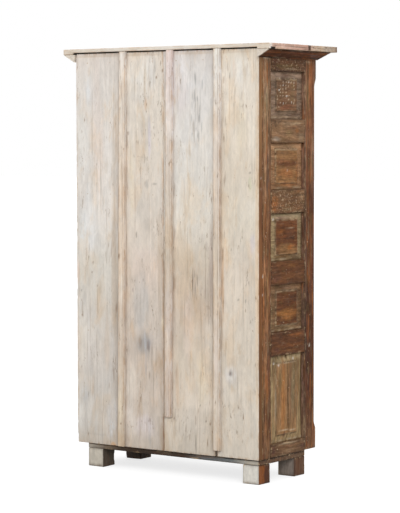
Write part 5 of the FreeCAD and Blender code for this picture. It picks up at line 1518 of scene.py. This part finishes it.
def make_ironwork():
    """Hinges, pulls and the bolt, the right door's as mirror images of the left one's."""
    straps = [form for i, level in enumerate(HINGE_LEVELS) for form in make_strap(level, 200 + 5 * i)]
    pintles = [form for i, level in enumerate(HINGE_LEVELS) for form in make_pintle(level, 220 + 5 * i)]
    pull, guide, second_guide = make_pull(), make_guide(0), make_guide(1)
    ring = hoop(RING_RADIUS, RING_WIRE, turns=64, sides=18, rough=0.05, seed=15).turned(
        TO_FRONT, (PULL_X, FRONT_Y - PULL_OFFSET, PULL_Z - RING_DROP - RING_RADIUS))

    def irons(name, forms, node, body="root"):
        """One piece of dark iron."""
        piece(name, forms, "dark", "iron", [node], body)

    def other(forms):
        """The same forms for the right door."""
        return [form.turned(MIRROR) for form in forms]

    irons("strap_irons_left", straps, "left_door_straps", "left_door")
    irons("strap_irons_right", other(straps), "right_door_straps", "right_door")
    irons("pintle_irons", pintles + other(pintles), "hinge_pintles")
    irons("staples_left", pull + guide + second_guide, "left_door_staples", "left_door")
    # the first guide's mirror image is the bolt's keeper
    irons("staples_right", other(pull + guide), "right_door_staples", "right_door")
    irons("ring_left", [ring], "left_pull_ring", "left_pull")
    irons("ring_right", other([ring]), "right_pull_ring", "right_pull")
    irons("slide_bolt", make_bolt(), "latch_bolt", "latch_bolt")


# The floor, the light and the camera

FLOOR_REACH = 60.0
FLOOR_GREY, FLOOR_GLOW = (0.40, 0.40, 0.40, 1.0), 0.74
WHITE = (1.0, 1.0, 1.0, 1.0)
WORLD_LEVEL = 0.58
# Each sun: where it stands, its power, and its angle in degrees
SUNS = {"key": ((-0.60, 0.65, 0.50), 1.50, 35.0), "fill": ((0.55, 0.75, 0.42), 0.56, 60.0),
        "front_fill": ((0.15, -0.85, 0.50), 1.36, 60.0)}
CAMERA_PLACE = (-5.6263, 7.8022, 1.5450)
CAMERA_YAW, CAMERA_PITCH, CAMERA_ROLL = 35.764, 3.2315, -0.092
CAMERA_LENS = 143.316


def seen(g):
    """1 for what the camera sees, straight or in a reflection."""
    path = g.add("LightPath")
    mirror = g.calc("MAXIMUM", path.outputs["Is Glossy Ray"], path.outputs["Is Transmission Ray"])
    return g.calc("MAXIMUM", path.outputs["Is Camera Ray"], mirror)


def make_stage():
    """A pale floor to the horizon. It shows as white to the camera, but keeps the cabinet's shadow."""
    corners = [(x * FLOOR_REACH, y * FLOOR_REACH, 0) for x, y in ((-1, -1), (1, -1), (1, 1), (-1, 1))]
    mesh = bpy.data.meshes.new("floor")
    mesh.from_pydata(corners, [], [(0, 1, 2, 3)])
    floor = bpy.data.objects.new("floor", mesh)
    bpy.context.scene.collection.objects.link(floor)
    g = Graph(bpy.data.materials.new("pale_floor"))
    plain = g.add("BsdfDiffuse", {"Color": FLOOR_GREY}).outputs[0]
    glow = g.add("Emission", {"Color": WHITE, "Strength": g.times(seen(g), FLOOR_GLOW)}).outputs[0]
    g.add("OutputMaterial", {"Surface": g.add("AddShader", {0: plain, 1: glow}).outputs[0]})
    mesh.materials.append(g.owner)


def make_light():
    """An even white sky with three soft suns."""
    g = Graph(bpy.data.worlds.new("studio"))
    bpy.context.scene.world = g.owner
    strength = g.calc("MAXIMUM", seen(g), WORLD_LEVEL)
    g.add("OutputWorld", {"Surface": g.add("Background", {"Color": WHITE, "Strength": strength}).outputs[0]})
    for name, (towards, power, spread) in SUNS.items():
        sun = bpy.data.lights.new(name, "SUN")
        sun.energy = power
        sun.angle = math.radians(spread)
        lamp = bpy.data.objects.new(name, sun)
        lamp.rotation_euler = Vector(towards).to_track_quat("Z", "Y").to_euler()
        bpy.context.scene.collection.objects.link(lamp)


def make_camera():
    """Looks from behind, over the corner of the back and the left side."""
    yaw, pitch, roll = (math.radians(angle) for angle in (CAMERA_YAW, CAMERA_PITCH, CAMERA_ROLL))
    ahead = Vector((math.sin(yaw) * math.cos(pitch), -math.cos(yaw) * math.cos(pitch), -math.sin(pitch)))
    level = ahead.cross(Vector((0, 0, 1))).normalized()
    right = level * math.cos(roll) + level.cross(ahead) * math.sin(roll)
    up = right.cross(ahead)
    camera = bpy.data.objects.new("camera", bpy.data.cameras.new("camera"))
    camera.data.lens = CAMERA_LENS
    camera.data.sensor_width = 36
    camera.data.clip_end = 200
    axes = Matrix((right, up, -ahead)).transposed()
    camera.matrix_world = Matrix.Translation(CAMERA_PLACE) @ axes.to_4x4()
    bpy.context.scene.collection.objects.link(camera)
    bpy.context.scene.camera = camera


for plank_number in PLANK_TONES:
    make_plank(plank_number)
for batten_number in BATTEN_LEANS:
    make_batten(batten_number)
make_nails()
make_top()
make_cornice()
make_uprights()
make_sides()
make_base()
dress_inside()
make_front_rails()
make_doors()
make_ironwork()
make_stage()
make_light()
make_camera()
bpy.context.scene.view_settings.view_transform = "Standard"
